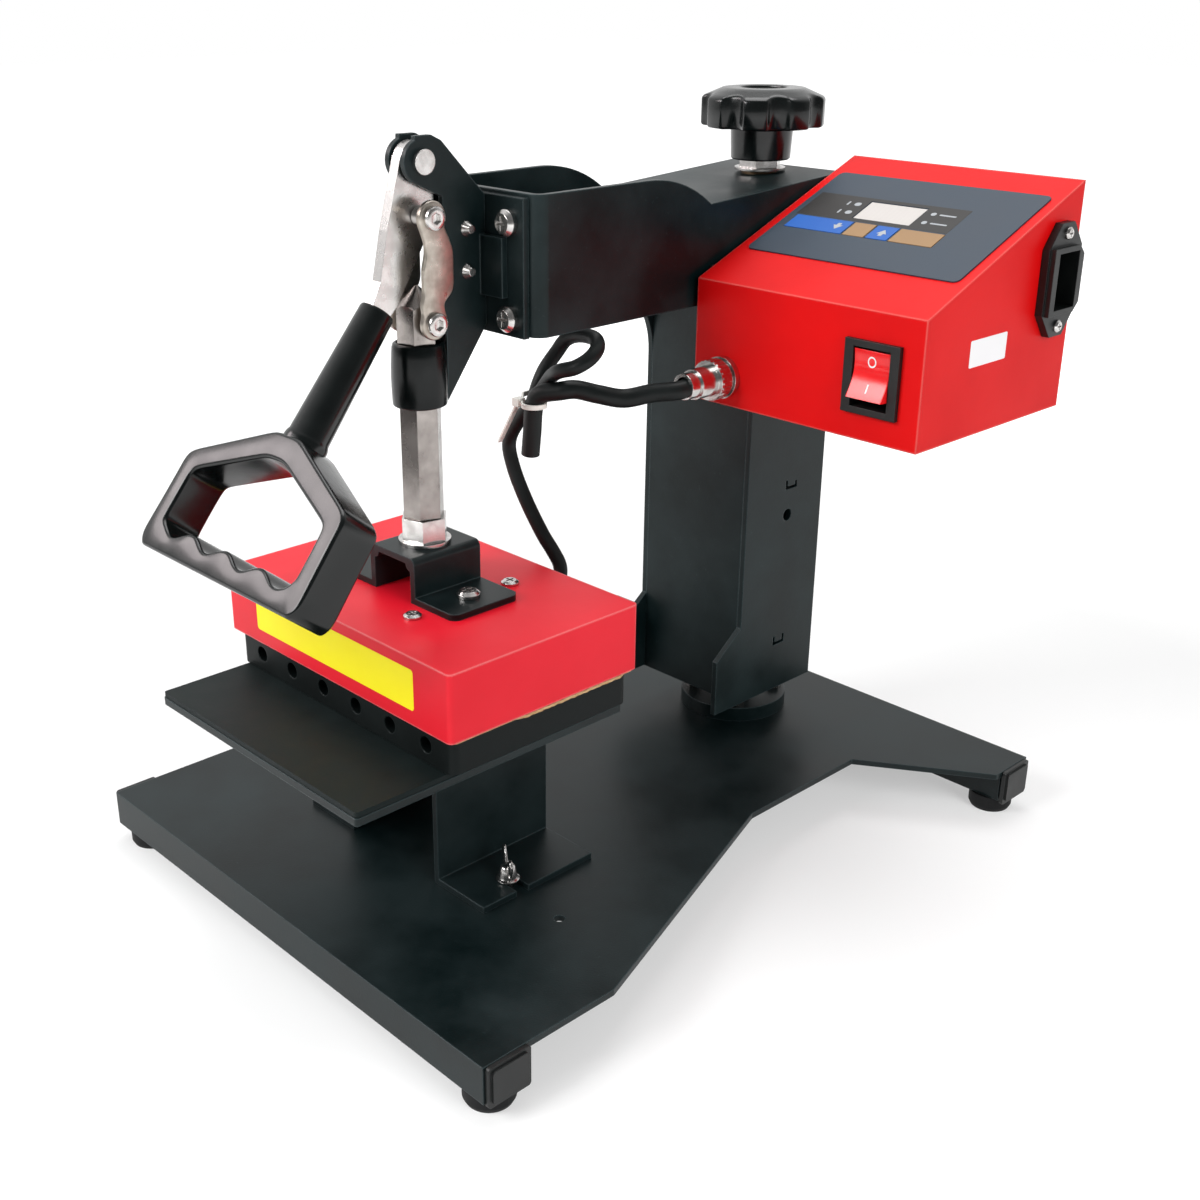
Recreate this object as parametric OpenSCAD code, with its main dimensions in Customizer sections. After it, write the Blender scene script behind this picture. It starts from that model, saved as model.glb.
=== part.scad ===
// Swing-away tabletop heat printing press.
// Frame: +Z up, -Y towards the operator, +X the machine's right-hand side.
// Every module below draws in press coordinates: the swing post stands on
// x = 0, y = 0 and z = 0 is the floor under the rubber feet.

/* [Base] */
// half width of the front of the base plate
base_half_w = 141.5; // [125:0.5:165]
// front edge of the base plate, from the post axis
base_front_y = -308; // [-340:1:-300]
// rear edge of the base plate, from the post axis
base_rear_y = 60; // [55:1:80]
// half width across the rear legs
rear_half_w = 151; // [130:0.5:170]
// half width of the waist beside the column
waist_half_w = 90; // [75:0.5:110]
// top face of the base plate above the floor
deck_z = 27; // [25:0.5:40]
// sheet thickness of the base plate
deck_t = 3; // [2:0.25:5]
// depth of the folded front skirt
skirt_h = 17.5; // [12:0.5:19]

/* [Post and column] */
// radius of the fixed swing post
post_r = 11; // [9.5:0.25:12]
// top of the post above the floor
post_top_z = 262; // [235:1:266]
// radius of the pressure screw
screw_r = 6; // [4:0.25:7]
// outside half width of the column and arm
arm_half_w = 35.5; // [32:0.5:45]
// front face of the column
col_front_y = -39; // [-45:0.5:-30]
// rear face of the column
col_rear_y = 21; // [21:0.5:35]
// sheet thickness of the arm and column
wall_t = 3; // [2:0.25:4]
// height the arm can be wound up by the pressure screw
lift = 10; // [4:1:12]

/* [Press head] */
// distance from the post axis forward to the ram axis
reach = 216.5; // [205:0.5:250]
// front face of the arm, ahead of the post axis
arm_front = 181; // [175:0.5:190]
// upper edge of the arm above the floor
arm_top_z = 326; // [315:0.5:345]
// lower edge of the arm above the floor
arm_low_z = 267.5; // [262:0.5:272]
// toggle top pin height above the floor
pin_top_z = 339.5; // [330:0.5:350]
// distance from the top pin to the knee pin
crank_len = 21.3; // [18:0.1:23]
// distance from the knee pin to the ram pin
link_len = 42.7; // [40:0.1:46]
// radius of the toggle pins
pin_r = 4; // [3:0.1:5]
// across-flats size of the hexagonal ram
hex_af = 16; // [14:0.5:17]
// angle of the closed lever below vertical
lever_tilt = 39; // [30:0.5:50]

/* [Heater and lower platen] */
// width of the heater cover
cover_w = 160; // [140:1:180]
// depth of the heater cover
cover_d = 106; // [95:1:120]
// height of the heater cover
cover_h = 30.6; // [22:0.2:34]
// heater block thickness
block_h = 15.2; // [12:0.2:16]
// side of the square lower platen
platen_s = 146; // [130:1:165]
// working face of the lower platen above the floor
work_z = 109.5; // [100:0.5:112]
// silicone pad thickness
pad_t = 2.5; // [2:0.25:4]

/* [Control box] */
// width of the control box
box_w = 122; // [110:1:140]
// depth of the control box
box_d = 110.3; // [100:0.5:125]
// underside of the control box above the floor
box_z = 226; // [215:0.5:235]
// height of its front face
box_front_h = 55.3; // [50:0.5:60]
// height of its rear face
box_rear_h = 99.8; // [90:0.5:110]
// sheet thickness of the control box
box_t = 1.5; // [1:0.1:2]

/* [Hidden] */
$fn = 64;
// clearance between fixed pieces that meet
seat = 0.05;
// running clearance of shafts in bores
run = 0.05;
// clearance between pieces that pass one another
pass = 0.3;
deck_bot = deck_z - deck_t;
bar_h = 15.5;
bar_d = 18;
ram_y = -reach;
inner_w = arm_half_w - wall_t;
col_low_z = 49;
sleeve_in = post_r + run;
sleeve_out = sleeve_in + 2.3;
tube_in = sleeve_out + run;
tube_out = tube_in + 3.2;
roof_slope = 3.5;
roof_at_post = arm_top_z - 13.7 + 75.6 * tan(roof_slope);
sleeve_top = roof_at_post - 17;
pin_mid_z = pin_top_z - crank_len;
pin_low_z = pin_mid_z - link_len;
block_z = work_z + pass;
board_z = block_z + block_h;
cover_z = board_z + 1.4;
cover_top = cover_z + cover_h;
hat_z = cover_top + 20.7;
platen_y = ram_y - 22.2;
box_x = arm_half_w + 3;
box_y = 24.3 - box_d;
box_tilt = atan2(box_rear_h - box_front_h, box_d);
face_z = box_z + box_front_h;
sock_x = box_x + 17.5;
sock_z = box_z + 13;
rock_x = box_x + 98;
rock_z = box_z + 27.3;
inlet_y = box_y + box_d - 16;
inlet_z = box_z + 59.5;
gland_x = 15;
ear_bolt_y = -194;
ear_bolt_z = [293.5, 311];
gland_z = 142;
nut_z = roof_at_post + 1.1;
hub_z = nut_z + 5;
rim_z = nut_z + 20;
key_x = [10.5, 43.2, 55.6, 67.8];
key_w = [31.6, 11.3, 11.1, 22];
key_s = 49.8;
key_h = 10.8;
grip_y = 20.5;
lever_t = 5.4;
ear_x = 5;
ear_t = 2.5;
ear_out = ear_x + ear_t / 2;
link_x = 10.9;
link_t = 2.6;
link_out = link_x + link_t / 2;
// the row's origin is the middle of the overall box, on the floor
side_x = max(base_half_w, rear_half_w) + 3 + seat;
far_x = max(box_x + box_w + 6, side_x);
near_y = min(base_front_y, platen_y - platen_s / 2,
             ram_y + (grip_y - 10) * cos(lever_tilt) - 184.5 * sin(lever_tilt));
origin_x = (far_x - side_x) / 2;
origin_y = (near_y + base_rear_y) / 2;

// ---------------------------------------------------------------- helpers

module place() {
  translate([-origin_x, -origin_y, 0])
    children();
}

module disc(r, h) {
  cylinder(r = r, h = h, $fn = 64);
}

module hexa(af, h) {
  cylinder(r = af / 2 / cos(30), h = h, $fn = 6);
}

// cylinder along +X from x0 to x1 at height z and depth y
module bar_x(x0, x1, y, z, r) {
  translate([x0, y, z])
    rotate([0, 90, 0])
      cylinder(r = r, h = x1 - x0, $fn = 48);
}

// cylinder along +Y from y0 to y1
module bar_y(y0, y1, x, z, r) {
  translate([x, y0, z])
    rotate([-90, 0, 0])
      cylinder(r = r, h = y1 - y0, $fn = 48);
}

module round_rect(w, d, r) {
  square([w - 2 * r, d], center = true);
  square([w, d - 2 * r], center = true);
  for (i = [-1, 1], j = [-1, 1])
    translate([i * (w / 2 - r), j * (d / 2 - r)])
      circle(r = r, $fn = 48);
}

module round_box(w, d, h, r) {
  linear_extrude(height = h)
    round_rect(w, d, r);
}

// a (y, z) outline pushed out along X from x0 to x1
module side_prism(x0, x1, pts) {
  translate([x0, 0, 0])
    rotate([90, 0, 90])
      linear_extrude(height = x1 - x0)
        polygon(pts);
}

// low domed screw head pointing along +Z with a cross recess
module pan_head(r, h) {
  difference() {
    union() {
      disc(r, h * 0.55);
      translate([0, 0, h * 0.55])
        cylinder(r1 = r, r2 = r * 0.72, h = h * 0.45, $fn = 64);
    }
    for (a = [0, 90])
      rotate([0, 0, a])
        translate([-r * 0.55, -r * 0.11, h * 0.5])
          cube([r * 1.1, r * 0.22, h]);
  }
}

// the same head pointing along -Y
module pan_head_front(r, h) {
  rotate([90, 0, 0])
    pan_head(r, h);
}

// ------------------------------------------------------------------- base

module deck_outline() {
  polygon([
    [-base_half_w, base_front_y], [base_half_w, base_front_y],
    [base_half_w, base_front_y + 70.5],
    [waist_half_w, base_front_y + 218.5],
    [waist_half_w, base_front_y + 299],
    [rear_half_w, base_rear_y - 28],
    [rear_half_w, base_rear_y], [-rear_half_w, base_rear_y],
    [-rear_half_w, base_rear_y - 28],
    [-waist_half_w, base_front_y + 299],
    [-waist_half_w, base_front_y + 218.5],
    [-base_half_w, base_front_y + 70.5]
  ]);
}

module foot_places() {
  for (s = [-1, 1]) {
    translate([s * (base_half_w - 11), base_front_y + 12.5, 0])
      children();
    translate([s * (rear_half_w - 11), base_rear_y - 12.5, 0])
      children();
  }
}

module flange_places() {
  for (a = [45:90:315])
    rotate([0, 0, a])
      translate([22.5, 0, 0])
        children();
}

module base_plate() {
  place()
    color("#26282a")
    difference() {
      union() {
        translate([0, 0, deck_bot])
          linear_extrude(height = deck_t)
            deck_outline();
        translate([-base_half_w, base_front_y, deck_z - skirt_h])
          cube([2 * base_half_w, 2.5, skirt_h - deck_t + 0.01]);
      }
      foot_places()
        translate([0, 0, deck_bot - 1])
          disc(2.1, deck_t);
      flange_places()
        translate([0, 0, deck_bot - 1])
          disc(2.55, deck_t + 2);
      for (s = [-1, 1]) {
        translate([s * 55, platen_y + 20, deck_bot - 1])
          disc(3.05, deck_t + 2);
        translate([s * 90, platen_y + 19, deck_bot - 1])
          disc(2.5, deck_t + 2);
      }
    }
}

module hollow_bar(half_w, y0, z0, z1) {
  difference() {
    translate([-half_w, y0, z0])
      cube([2 * half_w, bar_d, z1 - z0]);
    translate([-half_w - 1, y0 + 1.5, z0 + 1.5])
      cube([2 * half_w + 2, bar_d - 3, z1 - z0 - 3]);
    for (s = [-1, 1])
      translate([s * (half_w - 9.5), y0 + bar_d / 2, z0 - 1])
        disc(2.1, z1 - z0 + 2);
  }
}

module front_bar() {
  place()
    color("#26282a")
    hollow_bar(base_half_w - 1.5, base_front_y + 3.5, deck_bot - seat - bar_h, deck_bot - seat);
}

module rear_bar() {
  place()
    color("#26282a")
    hollow_bar(rear_half_w - 1.5, base_rear_y - bar_d - 3.5, deck_bot - seat - bar_h, deck_bot - seat);
}

// one plastic cap: a face plate that wraps the bar end and plugs into it
module end_cap(half_w, y0, z0, z1, face_y0, face_y1) {
  difference() {
    union() {
      translate([half_w + seat, (face_y0 + face_y1) / 2, (z0 + z1 + deck_t) / 2 - 0.4])
        rotate([90, 0, 90]) {
          round_box(face_y1 - face_y0, z1 - z0 + deck_t + 0.4, 2, 1.5);
          round_box(face_y1 - face_y0 - 3.4, z1 - z0 + deck_t - 3, 3, 1.5);
        }
      translate([half_w - 13, y0 + 1.6, z0 + 1.6])
        cube([13.1 + seat, bar_d - 3.2, z1 - z0 - 3.2]);
    }
    translate([half_w - 9.5 - 1.5, y0 + bar_d / 2, z0 - 1])
      disc(2.2, z1 - z0 + 2);
  }
}

module end_caps() {
  place()
    color("#2e2f31")
    for (s = [0, 1])
      mirror([s, 0, 0]) {
        end_cap(base_half_w, base_front_y + 3.5, deck_bot - seat - bar_h, deck_bot - seat,
                base_front_y + 1, base_front_y + bar_d + 5);
        end_cap(rear_half_w, base_rear_y - bar_d - 3.5, deck_bot - seat - bar_h, deck_bot - seat,
                base_rear_y - bar_d - 5, base_rear_y - 1);
      }
}

module rubber_feet() {
  foot_z = deck_bot - bar_h - 2 * seat;
  place()
    color("#17181a")
    foot_places()
      difference() {
        union() {
          cylinder(r1 = 10, r2 = 11, h = 2, $fn = 64);
          translate([0, 0, 2])
            disc(11, foot_z - 2);
        }
        translate([0, 0, -1])
          disc(4.6, 2.6);
        disc(2.1, foot_z + 1);
      }
}

module base_screws() {
  place()
    color("#b9bcc0") {
    foot_places() {
      translate([0, 0, 0.6])
        disc(4.2, 1);
      translate([0, 0, 1.55])
        disc(2, deck_z - 2.8);
    }
    flange_places() {
      translate([0, 0, deck_z + 8 + seat])
        hexa(8, 3.4);
      translate([0, 0, deck_bot - 4])
        disc(2.5, deck_z + 8 + 2 * seat - deck_bot + 4);
    }
  }
}

module pivot_flange() {
  place()
    color("#26282a")
    difference() {
      translate([0, 0, deck_z + seat])
        disc(29, 8 - seat);
      translate([0, 0, deck_z - 1])
        disc(post_r + seat, 12);
      flange_places()
        translate([0, 0, deck_z - 1])
          disc(2.55, 12);
    }
}

module swing_post() {
  place()
    color("#a9acb0")
    difference() {
      translate([0, 0, deck_z + seat])
        disc(post_r, post_top_z - deck_z - seat);
      translate([0, 0, post_top_z - 66])
        disc(screw_r + run, 67);
    }
}

module platen_stand() {
  wall_x = 34;
  top_z = work_z - pad_t - 3.5 - seat;
  y0 = platen_y - 3;
  place()
    color("#26282a")
    difference() {
      union() {
        translate([-wall_x, y0, top_z - 3])
          cube([2 * wall_x, 66, 3]);
        for (s = [-1, 1]) {
          translate([s * (wall_x - 1.5) - 1.5, y0, deck_z + seat])
            cube([3, 66, top_z - deck_z - seat - 1]);
          translate([s * (wall_x + 14) - 17, y0, deck_z + seat])
            cube([34, 66, 3]);
        }
      }
      for (s = [-1, 1]) {
        translate([s * 55, platen_y + 20, deck_z - 1])
          disc(3.6, 6);
        translate([s * 61.5 - 6.5, platen_y + 16.4, deck_z - 1])
          cube([13, 7.2, 6]);
        for (j = [12, 54])
          translate([s * 22, y0 + j, top_z - 5])
            disc(2.55, 8);
      }
    }
}

module lower_platen() {
  top_z = work_z - pad_t - seat;
  place()
    color("#2a2c2e")
    difference() {
      translate([0, platen_y, top_z - 3.5])
        round_box(platen_s, platen_s, 3.5, 1.5);
      for (s = [-1, 1], j = [9, 51])
        translate([s * 22, platen_y + j, top_z - 5])
          disc(2.55, 4.2);
    }
}

module silicone_pad() {
  place()
    color("#2e3133")
    translate([0, platen_y, work_z - pad_t])
      round_box(platen_s - 0.6, platen_s - 0.6, pad_t, 1.5);
}

module platen_bolts() {
  top_z = work_z - pad_t - 3.5 - seat;
  place()
    color("#b9bcc0")
    for (s = [-1, 1], j = [9, 51])
      translate([s * 22, platen_y + j, 0]) {
        translate([0, 0, top_z - 3 - seat - 3.5])
          hexa(8, 3.5);
        translate([0, 0, top_z - 3 - seat - 0.5])
          disc(2.5, 3 + seat + 0.5 + 2.2);
      }
}

// a cast wing bolt: collar, two flat wings and a round shank
module wing_bolt(x) {
  place()
    color("#c9ccd0")
    translate([x, platen_y + 20, deck_z + 3 + 2 * seat]) {
      disc(5.4, 1.2);
      translate([0, 0, 1])
        cylinder(r1 = 4.4, r2 = 3.4, h = 6.5, $fn = 64);
      for (s = [-1, 1])
        rotate([0, 0, 150])
          translate([s * 3, -1.1, 4.5])
            rotate([0, s * 35, 0])
              translate([s * 3.2 - 3.2, 0, 0])
                cube([6.4, 2.2, 10]);
      translate([0, 0, -12])
        disc(3, 12.2);
    }
}

module wing_bolt_right() {
  wing_bolt(55);
}

module wing_bolt_left() {
  wing_bolt(-55);
}

// ------------------------------------------------------- column and arm

module swing_sleeve() {
  place()
    color("#b08d4f")
    difference() {
      union() {
        translate([0, 0, col_low_z + 1])
          disc(sleeve_out, sleeve_top + 8 - col_low_z - 1);
        translate([0, 0, sleeve_top + 7.9])
          disc(9, nut_z - pass - sleeve_top - 7.9);
      }
      translate([0, 0, col_low_z])
        disc(sleeve_in, sleeve_top - col_low_z);
      translate([0, 0, sleeve_top - 1])
        disc(screw_r + run, 40);
    }
}

// side view of one arm-and-column cheek, filled, before its holes
module cheek_body(x0, x1) {
  drop = 13.7;
  run_y = 40.4;
  big_r = (run_y * run_y + drop * drop) / (2 * drop);
  fil = 40;
  roll_y = -116;
  end_y = roll_y + run_y;
  rear_top = arm_top_z - drop + (col_rear_y - end_y) * tan(roof_slope);
  difference() {
    side_prism(x0, x1, [
      [-arm_front, arm_low_z], [-arm_front, arm_top_z], [end_y, arm_top_z],
      [end_y, arm_top_z - drop], [col_rear_y, rear_top], [col_rear_y, col_low_z],
      [-57, col_low_z], [-57, 79], [col_front_y, 93], [col_front_y, arm_low_z]
    ]);
    // rounded run-off at the rear of the raised edge
    difference() {
      translate([x0 - 1, roll_y, arm_top_z - drop])
        cube([x1 - x0 + 2, run_y + 1, drop + 1]);
      bar_x(x0 - 2, x1 + 2, roll_y, arm_top_z - big_r, big_r);
      side_prism(x0 - 2, x1 + 2, [
        [roll_y - 1, arm_top_z - drop - 1], [end_y, arm_top_z - drop - 1],
        [end_y, arm_top_z - drop], [end_y + 2, arm_top_z - drop + 2 * tan(roof_slope)],
        [end_y + 2, arm_top_z - drop - 1], [roll_y - 1, arm_top_z - drop - 2]
      ]);
    }
  }
  // hollow corner under the arm
  difference() {
    side_prism(x0, x1, [
      [col_front_y - fil, arm_low_z], [col_front_y + 1, arm_low_z],
      [col_front_y + 1, arm_low_z - fil], [col_front_y, arm_low_z - fil]
    ]);
    bar_x(x0 - 1, x1 + 1, col_front_y - fil, arm_low_z - fil, fil);
  }
}

module fold_plan() {
  bend = 6;
  difference() {
    union() {
      translate([0, (col_rear_y - arm_front) / 2 + 0])
        square([2 * arm_half_w, arm_front + col_rear_y - 2 * bend], center = true);
      translate([0, -arm_front + bend])
        square([2 * (arm_half_w - bend), 2 * bend], center = true);
      translate([0, col_rear_y - bend])
        square([2 * arm_half_w, 2 * bend], center = true);
      for (s = [-1, 1])
        translate([s * (arm_half_w - bend), -arm_front + bend])
          circle(r = bend, $fn = 48);
    }
    translate([-inner_w, -arm_front + bend])
      square([2 * inner_w, arm_front + 60]);
    translate([-(arm_half_w - bend), -arm_front + wall_t])
      square([2 * (arm_half_w - bend), bend]);
    for (s = [-1, 1])
      translate([s * (arm_half_w - bend), -arm_front + bend])
        circle(r = bend - wall_t, $fn = 48);
  }
}

// L-slots and a round hole punched in the column cheeks
module cheek_marks() {
  for (s = [-1, 1]) {
    translate([s * arm_half_w - 5, -9, 162])
      cube([10, 9, 1.6]);
    translate([s * arm_half_w - 5, -9, 162])
      cube([10, 1.6, 5]);
    translate([s * arm_half_w - 5, -1.6, 162])
      cube([10, 1.6, 3.6]);
    bar_x(s * arm_half_w - 5, s * arm_half_w + 5, -6.5, 148, 3.2);
    translate([s * arm_half_w - 5, -12, 75])
      cube([10, 9, 1.6]);
    translate([s * arm_half_w - 5, -12, 75])
      cube([10, 1.6, 5]);
    translate([s * arm_half_w - 5, -4.6, 75])
      cube([10, 1.6, 5]);
  }
}

module arm_frame() {
  place()
    color("#232527")
    difference() {
      intersection() {
        cheek_body(-arm_half_w - 1, arm_half_w + 1);
        translate([0, 0, col_low_z - 1])
          linear_extrude(height = 300)
            fold_plan();
      }
      cheek_marks();
      for (s = [-1, 1], z = [274.5, 314])
        bar_y(-arm_front - 1, -arm_front + wall_t + 1, s * 21, z, 3.05);
      for (y = [-60, -12], z = [245, 278])
        bar_x(arm_half_w - 5, arm_half_w + 1, y, z, 2.05);
    }
}

// underside of the sloping roof plate at depth y
function under_roof(y) = roof_at_post + y * tan(roof_slope) - wall_t / cos(roof_slope) - seat;

module column_front() {
  place()
    color("#232527")
    translate([-inner_w + seat, col_front_y, col_low_z])
      cube([2 * (inner_w - seat), wall_t, under_roof(col_front_y) - col_low_z]);
}

module column_rear() {
  place()
    color("#232527")
    difference() {
      translate([-inner_w + seat, col_rear_y - wall_t, col_low_z])
        cube([2 * (inner_w - seat), wall_t, under_roof(col_rear_y - wall_t) - col_low_z]);
      for (z = [90, 260])
        for (s = [-1, 1])
          bar_y(col_rear_y - 4, col_rear_y + 1, s * 26, z, 1.6);
      for (i = [0:4])
        translate([-14, col_rear_y - 4, 130 + i * 10])
          cube([28, 6, 4]);
    }
}

module arm_top_plate() {
  y0 = -75.6;
  place()
    color("#2c2e30")
    difference() {
      translate([0, y0, arm_top_z - 13.7])
        rotate([roof_slope, 0, 0])
          translate([-inner_w + seat, 0, -wall_t])
            cube([2 * (inner_w - seat), 96.6, wall_t]);
      translate([0, 0, 290])
        disc(9 + run, 40);
    }
}

module pivot_tube() {
  place()
    color("#3a3d40")
    difference() {
      union() {
        translate([0, 0, col_low_z])
          disc(tube_out, sleeve_top + 6 - col_low_z);
        for (z = [col_low_z, 262])
          translate([-inner_w + seat, col_front_y + wall_t + seat, z])
            cube([2 * (inner_w - seat), col_rear_y - col_front_y - 2 * (wall_t + seat), 3]);
      }
      translate([0, 0, col_low_z - 1])
        disc(tube_in, 300);
    }
}

module clamp_plate() {
  place()
    color("#1f2123")
    difference() {
      translate([-30, -arm_front - 3 - seat, arm_low_z - 0.5])
        cube([60, 3, 57.5]);
      for (s = [-1, 1], z = [274.5, 314])
        bar_y(-arm_front - 5, -arm_front + 1, s * 21, z, 3.05);
    }
}

module plate_screws() {
  y0 = -arm_front - 3 - 2 * seat;
  place()
    color("#d5d7da") {
    for (s = [-1, 1], z = [274.5, 314]) {
      translate([s * 21, y0, z])
        pan_head_front(5.6, 4);
      bar_y(y0 - 0.2, -arm_front + wall_t + 4, s * 21, z, 3);
    }
    for (z = ear_bolt_z) {
      bar_x(-ear_out - 0.5, ear_out + 0.5, ear_bolt_y, z, 2);
      for (s = [-1, 1])
        translate([s * (ear_out + seat), ear_bolt_y, z])
          rotate([0, s * 90, 0])
            cylinder(r1 = 3.3, r2 = 1.7, h = 3.2, $fn = 64);
    }
  }
}

module clamp_bracket() {
  y_back = -arm_front - 3 - 2 * seat;
  place()
    color("#1f2123")
    difference() {
      union() {
        translate([-20, y_back - 3, 283])
          cube([40, 3, 25]);
        for (s = [-1, 1])
          difference() {
            union() {
              side_prism(s * ear_x - ear_t / 2, s * ear_x + ear_t / 2, [
                [y_back, 324], [ram_y + 10, 347], [ram_y + 5, 349.4], [ram_y - 3, 349.5],
                [ram_y - 5, pin_top_z - 7.5], [ram_y + 10, 325],
                [ram_y + 10, 273], [ram_y + 4, 269], [ram_y + 4, 243],
                [ram_y + 10, 240], [y_back, 270]
              ]);
              bar_x(s * ear_x - ear_t / 2, s * ear_x + ear_t / 2, ram_y, pin_top_z, 8.8);
            }
            bar_x(s * ear_x - 3, s * ear_x + 3, ram_y, pin_top_z, pin_r + seat);
          }
      }
      translate([0, ram_y, 200])
        disc(12 + seat, 74);
      for (z = ear_bolt_z)
        bar_x(-14, 14, ear_bolt_y, z, 2.05);
    }
}

module guide_sleeve() {
  place()
    color("#17181a")
    difference() {
      union() {
        translate([0, ram_y, 239.5])
          cylinder(r1 = 12, r2 = 12, h = 21, $fn = 64);
        translate([0, ram_y, 260.4])
          cylinder(r1 = 12, r2 = 11, h = 6, $fn = 64);
      }
      translate([0, ram_y, 230])
        disc(hex_af / 2 / cos(30) + run, 60);
    }
}

module top_pin() {
  place()
    color("#d5d7da") {
    bar_x(-ear_out, ear_out, ram_y, pin_top_z, pin_r);
    for (s = [-1, 1])
      bar_x(s * (ear_out + 1.2) - 1.15, s * (ear_out + 1.2) + 1.15, ram_y, pin_top_z, 5);
  }
}

// ------------------------------------------------------------ control box

function wedge(inset, front, rear) = [
  [box_y + front, box_z + inset],
  [box_y + front, face_z - inset / cos(box_tilt) + front * tan(box_tilt)],
  [box_y + box_d - rear, box_z + box_rear_h - inset / cos(box_tilt) - rear * tan(box_tilt)],
  [box_y + box_d - rear, box_z + inset]
];

// children are placed on the sloping panel: x from the box's left side,
// y up the slope and z straight out of it
module on_slope() {
  translate([box_x, box_y, face_z])
    rotate([box_tilt, 0, 0])
      children();
}

module box_bracket() {
  place()
    color("#2b2d2f")
    difference() {
      translate([arm_half_w + seat, -75, 234])
        cube([3 - 2 * seat, 78, 51]);
      for (y = [-60, -12], z = [245, 278])
        bar_x(arm_half_w - 1, box_x + 1, y, z, 2.05);
    }
}

module box_shell() {
  place()
    color("#d2141c")
    difference() {
      side_prism(box_x, box_x + box_w, wedge(0, 0, 0));
      side_prism(box_x + box_t, box_x + box_w - box_t, wedge(box_t, box_t, -1));
      bar_y(box_y - 1, box_y + 5, sock_x, sock_z, 8.05);
      translate([rock_x - 11.5, box_y - 1, rock_z - 13.8])
        cube([23, 5, 27.6]);
      translate([box_x + box_w - 3, inlet_y - 10.5, inlet_z - 14.5])
        cube([5, 21, 29]);
      for (s = [-1, 1])
        bar_x(box_x + box_w - 3, box_x + box_w + 1, inlet_y, inlet_z + s * 20, 1.55);
      on_slope()
        translate([9, 47.5, -3])
          cube([82.5, 34, 5]);
      for (y = [-60, -12], z = [245, 278])
        bar_x(box_x - 1, box_x + box_t + 1, y, z, 2.05);
      for (x = [box_x + 20, box_x + 50, box_x + 80])
        for (y = [box_y + 30, box_y + 45, box_y + 60])
          translate([x, y, box_z - 1])
            cube([18, 3, 4]);
    }
}

module box_back() {
  y1 = box_y + box_d;
  ins = box_t + seat;
  place()
    color("#2b2d2f")
    difference() {
      union() {
        translate([box_x + ins, y1 - 1.5, box_z + ins])
          cube([box_w - 2 * ins, 1.5, box_rear_h - 2 * ins - 1.2]);
        for (x = [box_x + ins, box_x + box_w - ins - 1.5])
          translate([x, y1 - 13, box_z + ins])
            cube([1.5, 12, 30]);
      }
      for (x = [box_x + 14, box_x + box_w - 14], z = [box_z + 12, box_z + box_rear_h - 14])
        bar_y(y1 - 3, y1 + 1, x, z, 1.55);
      for (i = [0:5])
        translate([box_x + 36, y1 - 3, box_z + 36 + i * 7])
          cube([50, 5, 3]);
    }
}

module box_screws() {
  y1 = box_y + box_d;
  place()
    color("#b9bcc0") {
    for (x = [box_x + 14, box_x + box_w - 14], z = [box_z + 12, box_z + box_rear_h - 14]) {
      translate([x, y1 + seat, z])
        rotate([-90, 0, 0])
          pan_head(3, 1.9);
      bar_y(y1 - 6, y1 + 0.2, x, z, 1.5);
    }
    for (y = [-60, -12], z = [245, 278]) {
      translate([box_x + box_t + seat, y, z])
        rotate([0, 90, 0])
          pan_head(3.8, 2.4);
      bar_x(arm_half_w - wall_t - 2, box_x + box_t + 0.3, y, z, 2);
    }
    for (s = [-1, 1]) {
      translate([box_x + box_w + 3.6 + seat, inlet_y, inlet_z + s * 20])
        rotate([0, 90, 0])
          pan_head(2.7, 1.7);
      bar_x(box_x + box_w - 3, box_x + box_w + 3.8, inlet_y, inlet_z + s * 20, 1.5);
    }
  }
}

module key_holes() {
  for (i = [0:3])
    translate([key_x[i] - 0.3, key_s - 0.3, -2])
      cube([key_w[i] + 0.6, key_h + 0.6, 6]);
}

module display_overlay() {
  place()
    color("#5d6675")
    on_slope()
      difference() {
        translate([61.25, 64.75, seat])
          round_box(111.5, 73.5, 0.6, 3);
        translate([38.5, 64, -1])
          cube([30.5, 15.5, 3]);
        key_holes();
      }
}

module display_lcd() {
  place()
    color("#b9c4c6")
    on_slope()
      translate([38.8, 64.3, -3.4])
        cube([29.9, 14.9, 3.8]);
}

module control_board() {
  place()
    color("#1d5c38")
    on_slope() {
      translate([16, 40.5, -9.1])
        cube([74, 42, 1.6]);
      translate([20, 42, -13])
        cube([12, 12, 3.9]);
      translate([60, 44, -14])
        cube([20, 9, 4.9]);
      translate([38.8, 64.3, -7.6])
        cube([29.9, 14.9, 4.2 - seat]);
    }
}

module relay_module() {
  place()
    color("#9fa3a7")
    translate([box_x + 22, box_y + 70, box_z + box_t + seat]) {
      cube([45, 30, 3]);
      for (i = [0:6])
        translate([i * 7, 0, 2.9])
          cube([2, 30, 16]);
      translate([52, 2, 0])
        cube([24, 24, 20]);
      translate([44, 10, 0])
        cube([9, 8, 3]);
    }
}

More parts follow.
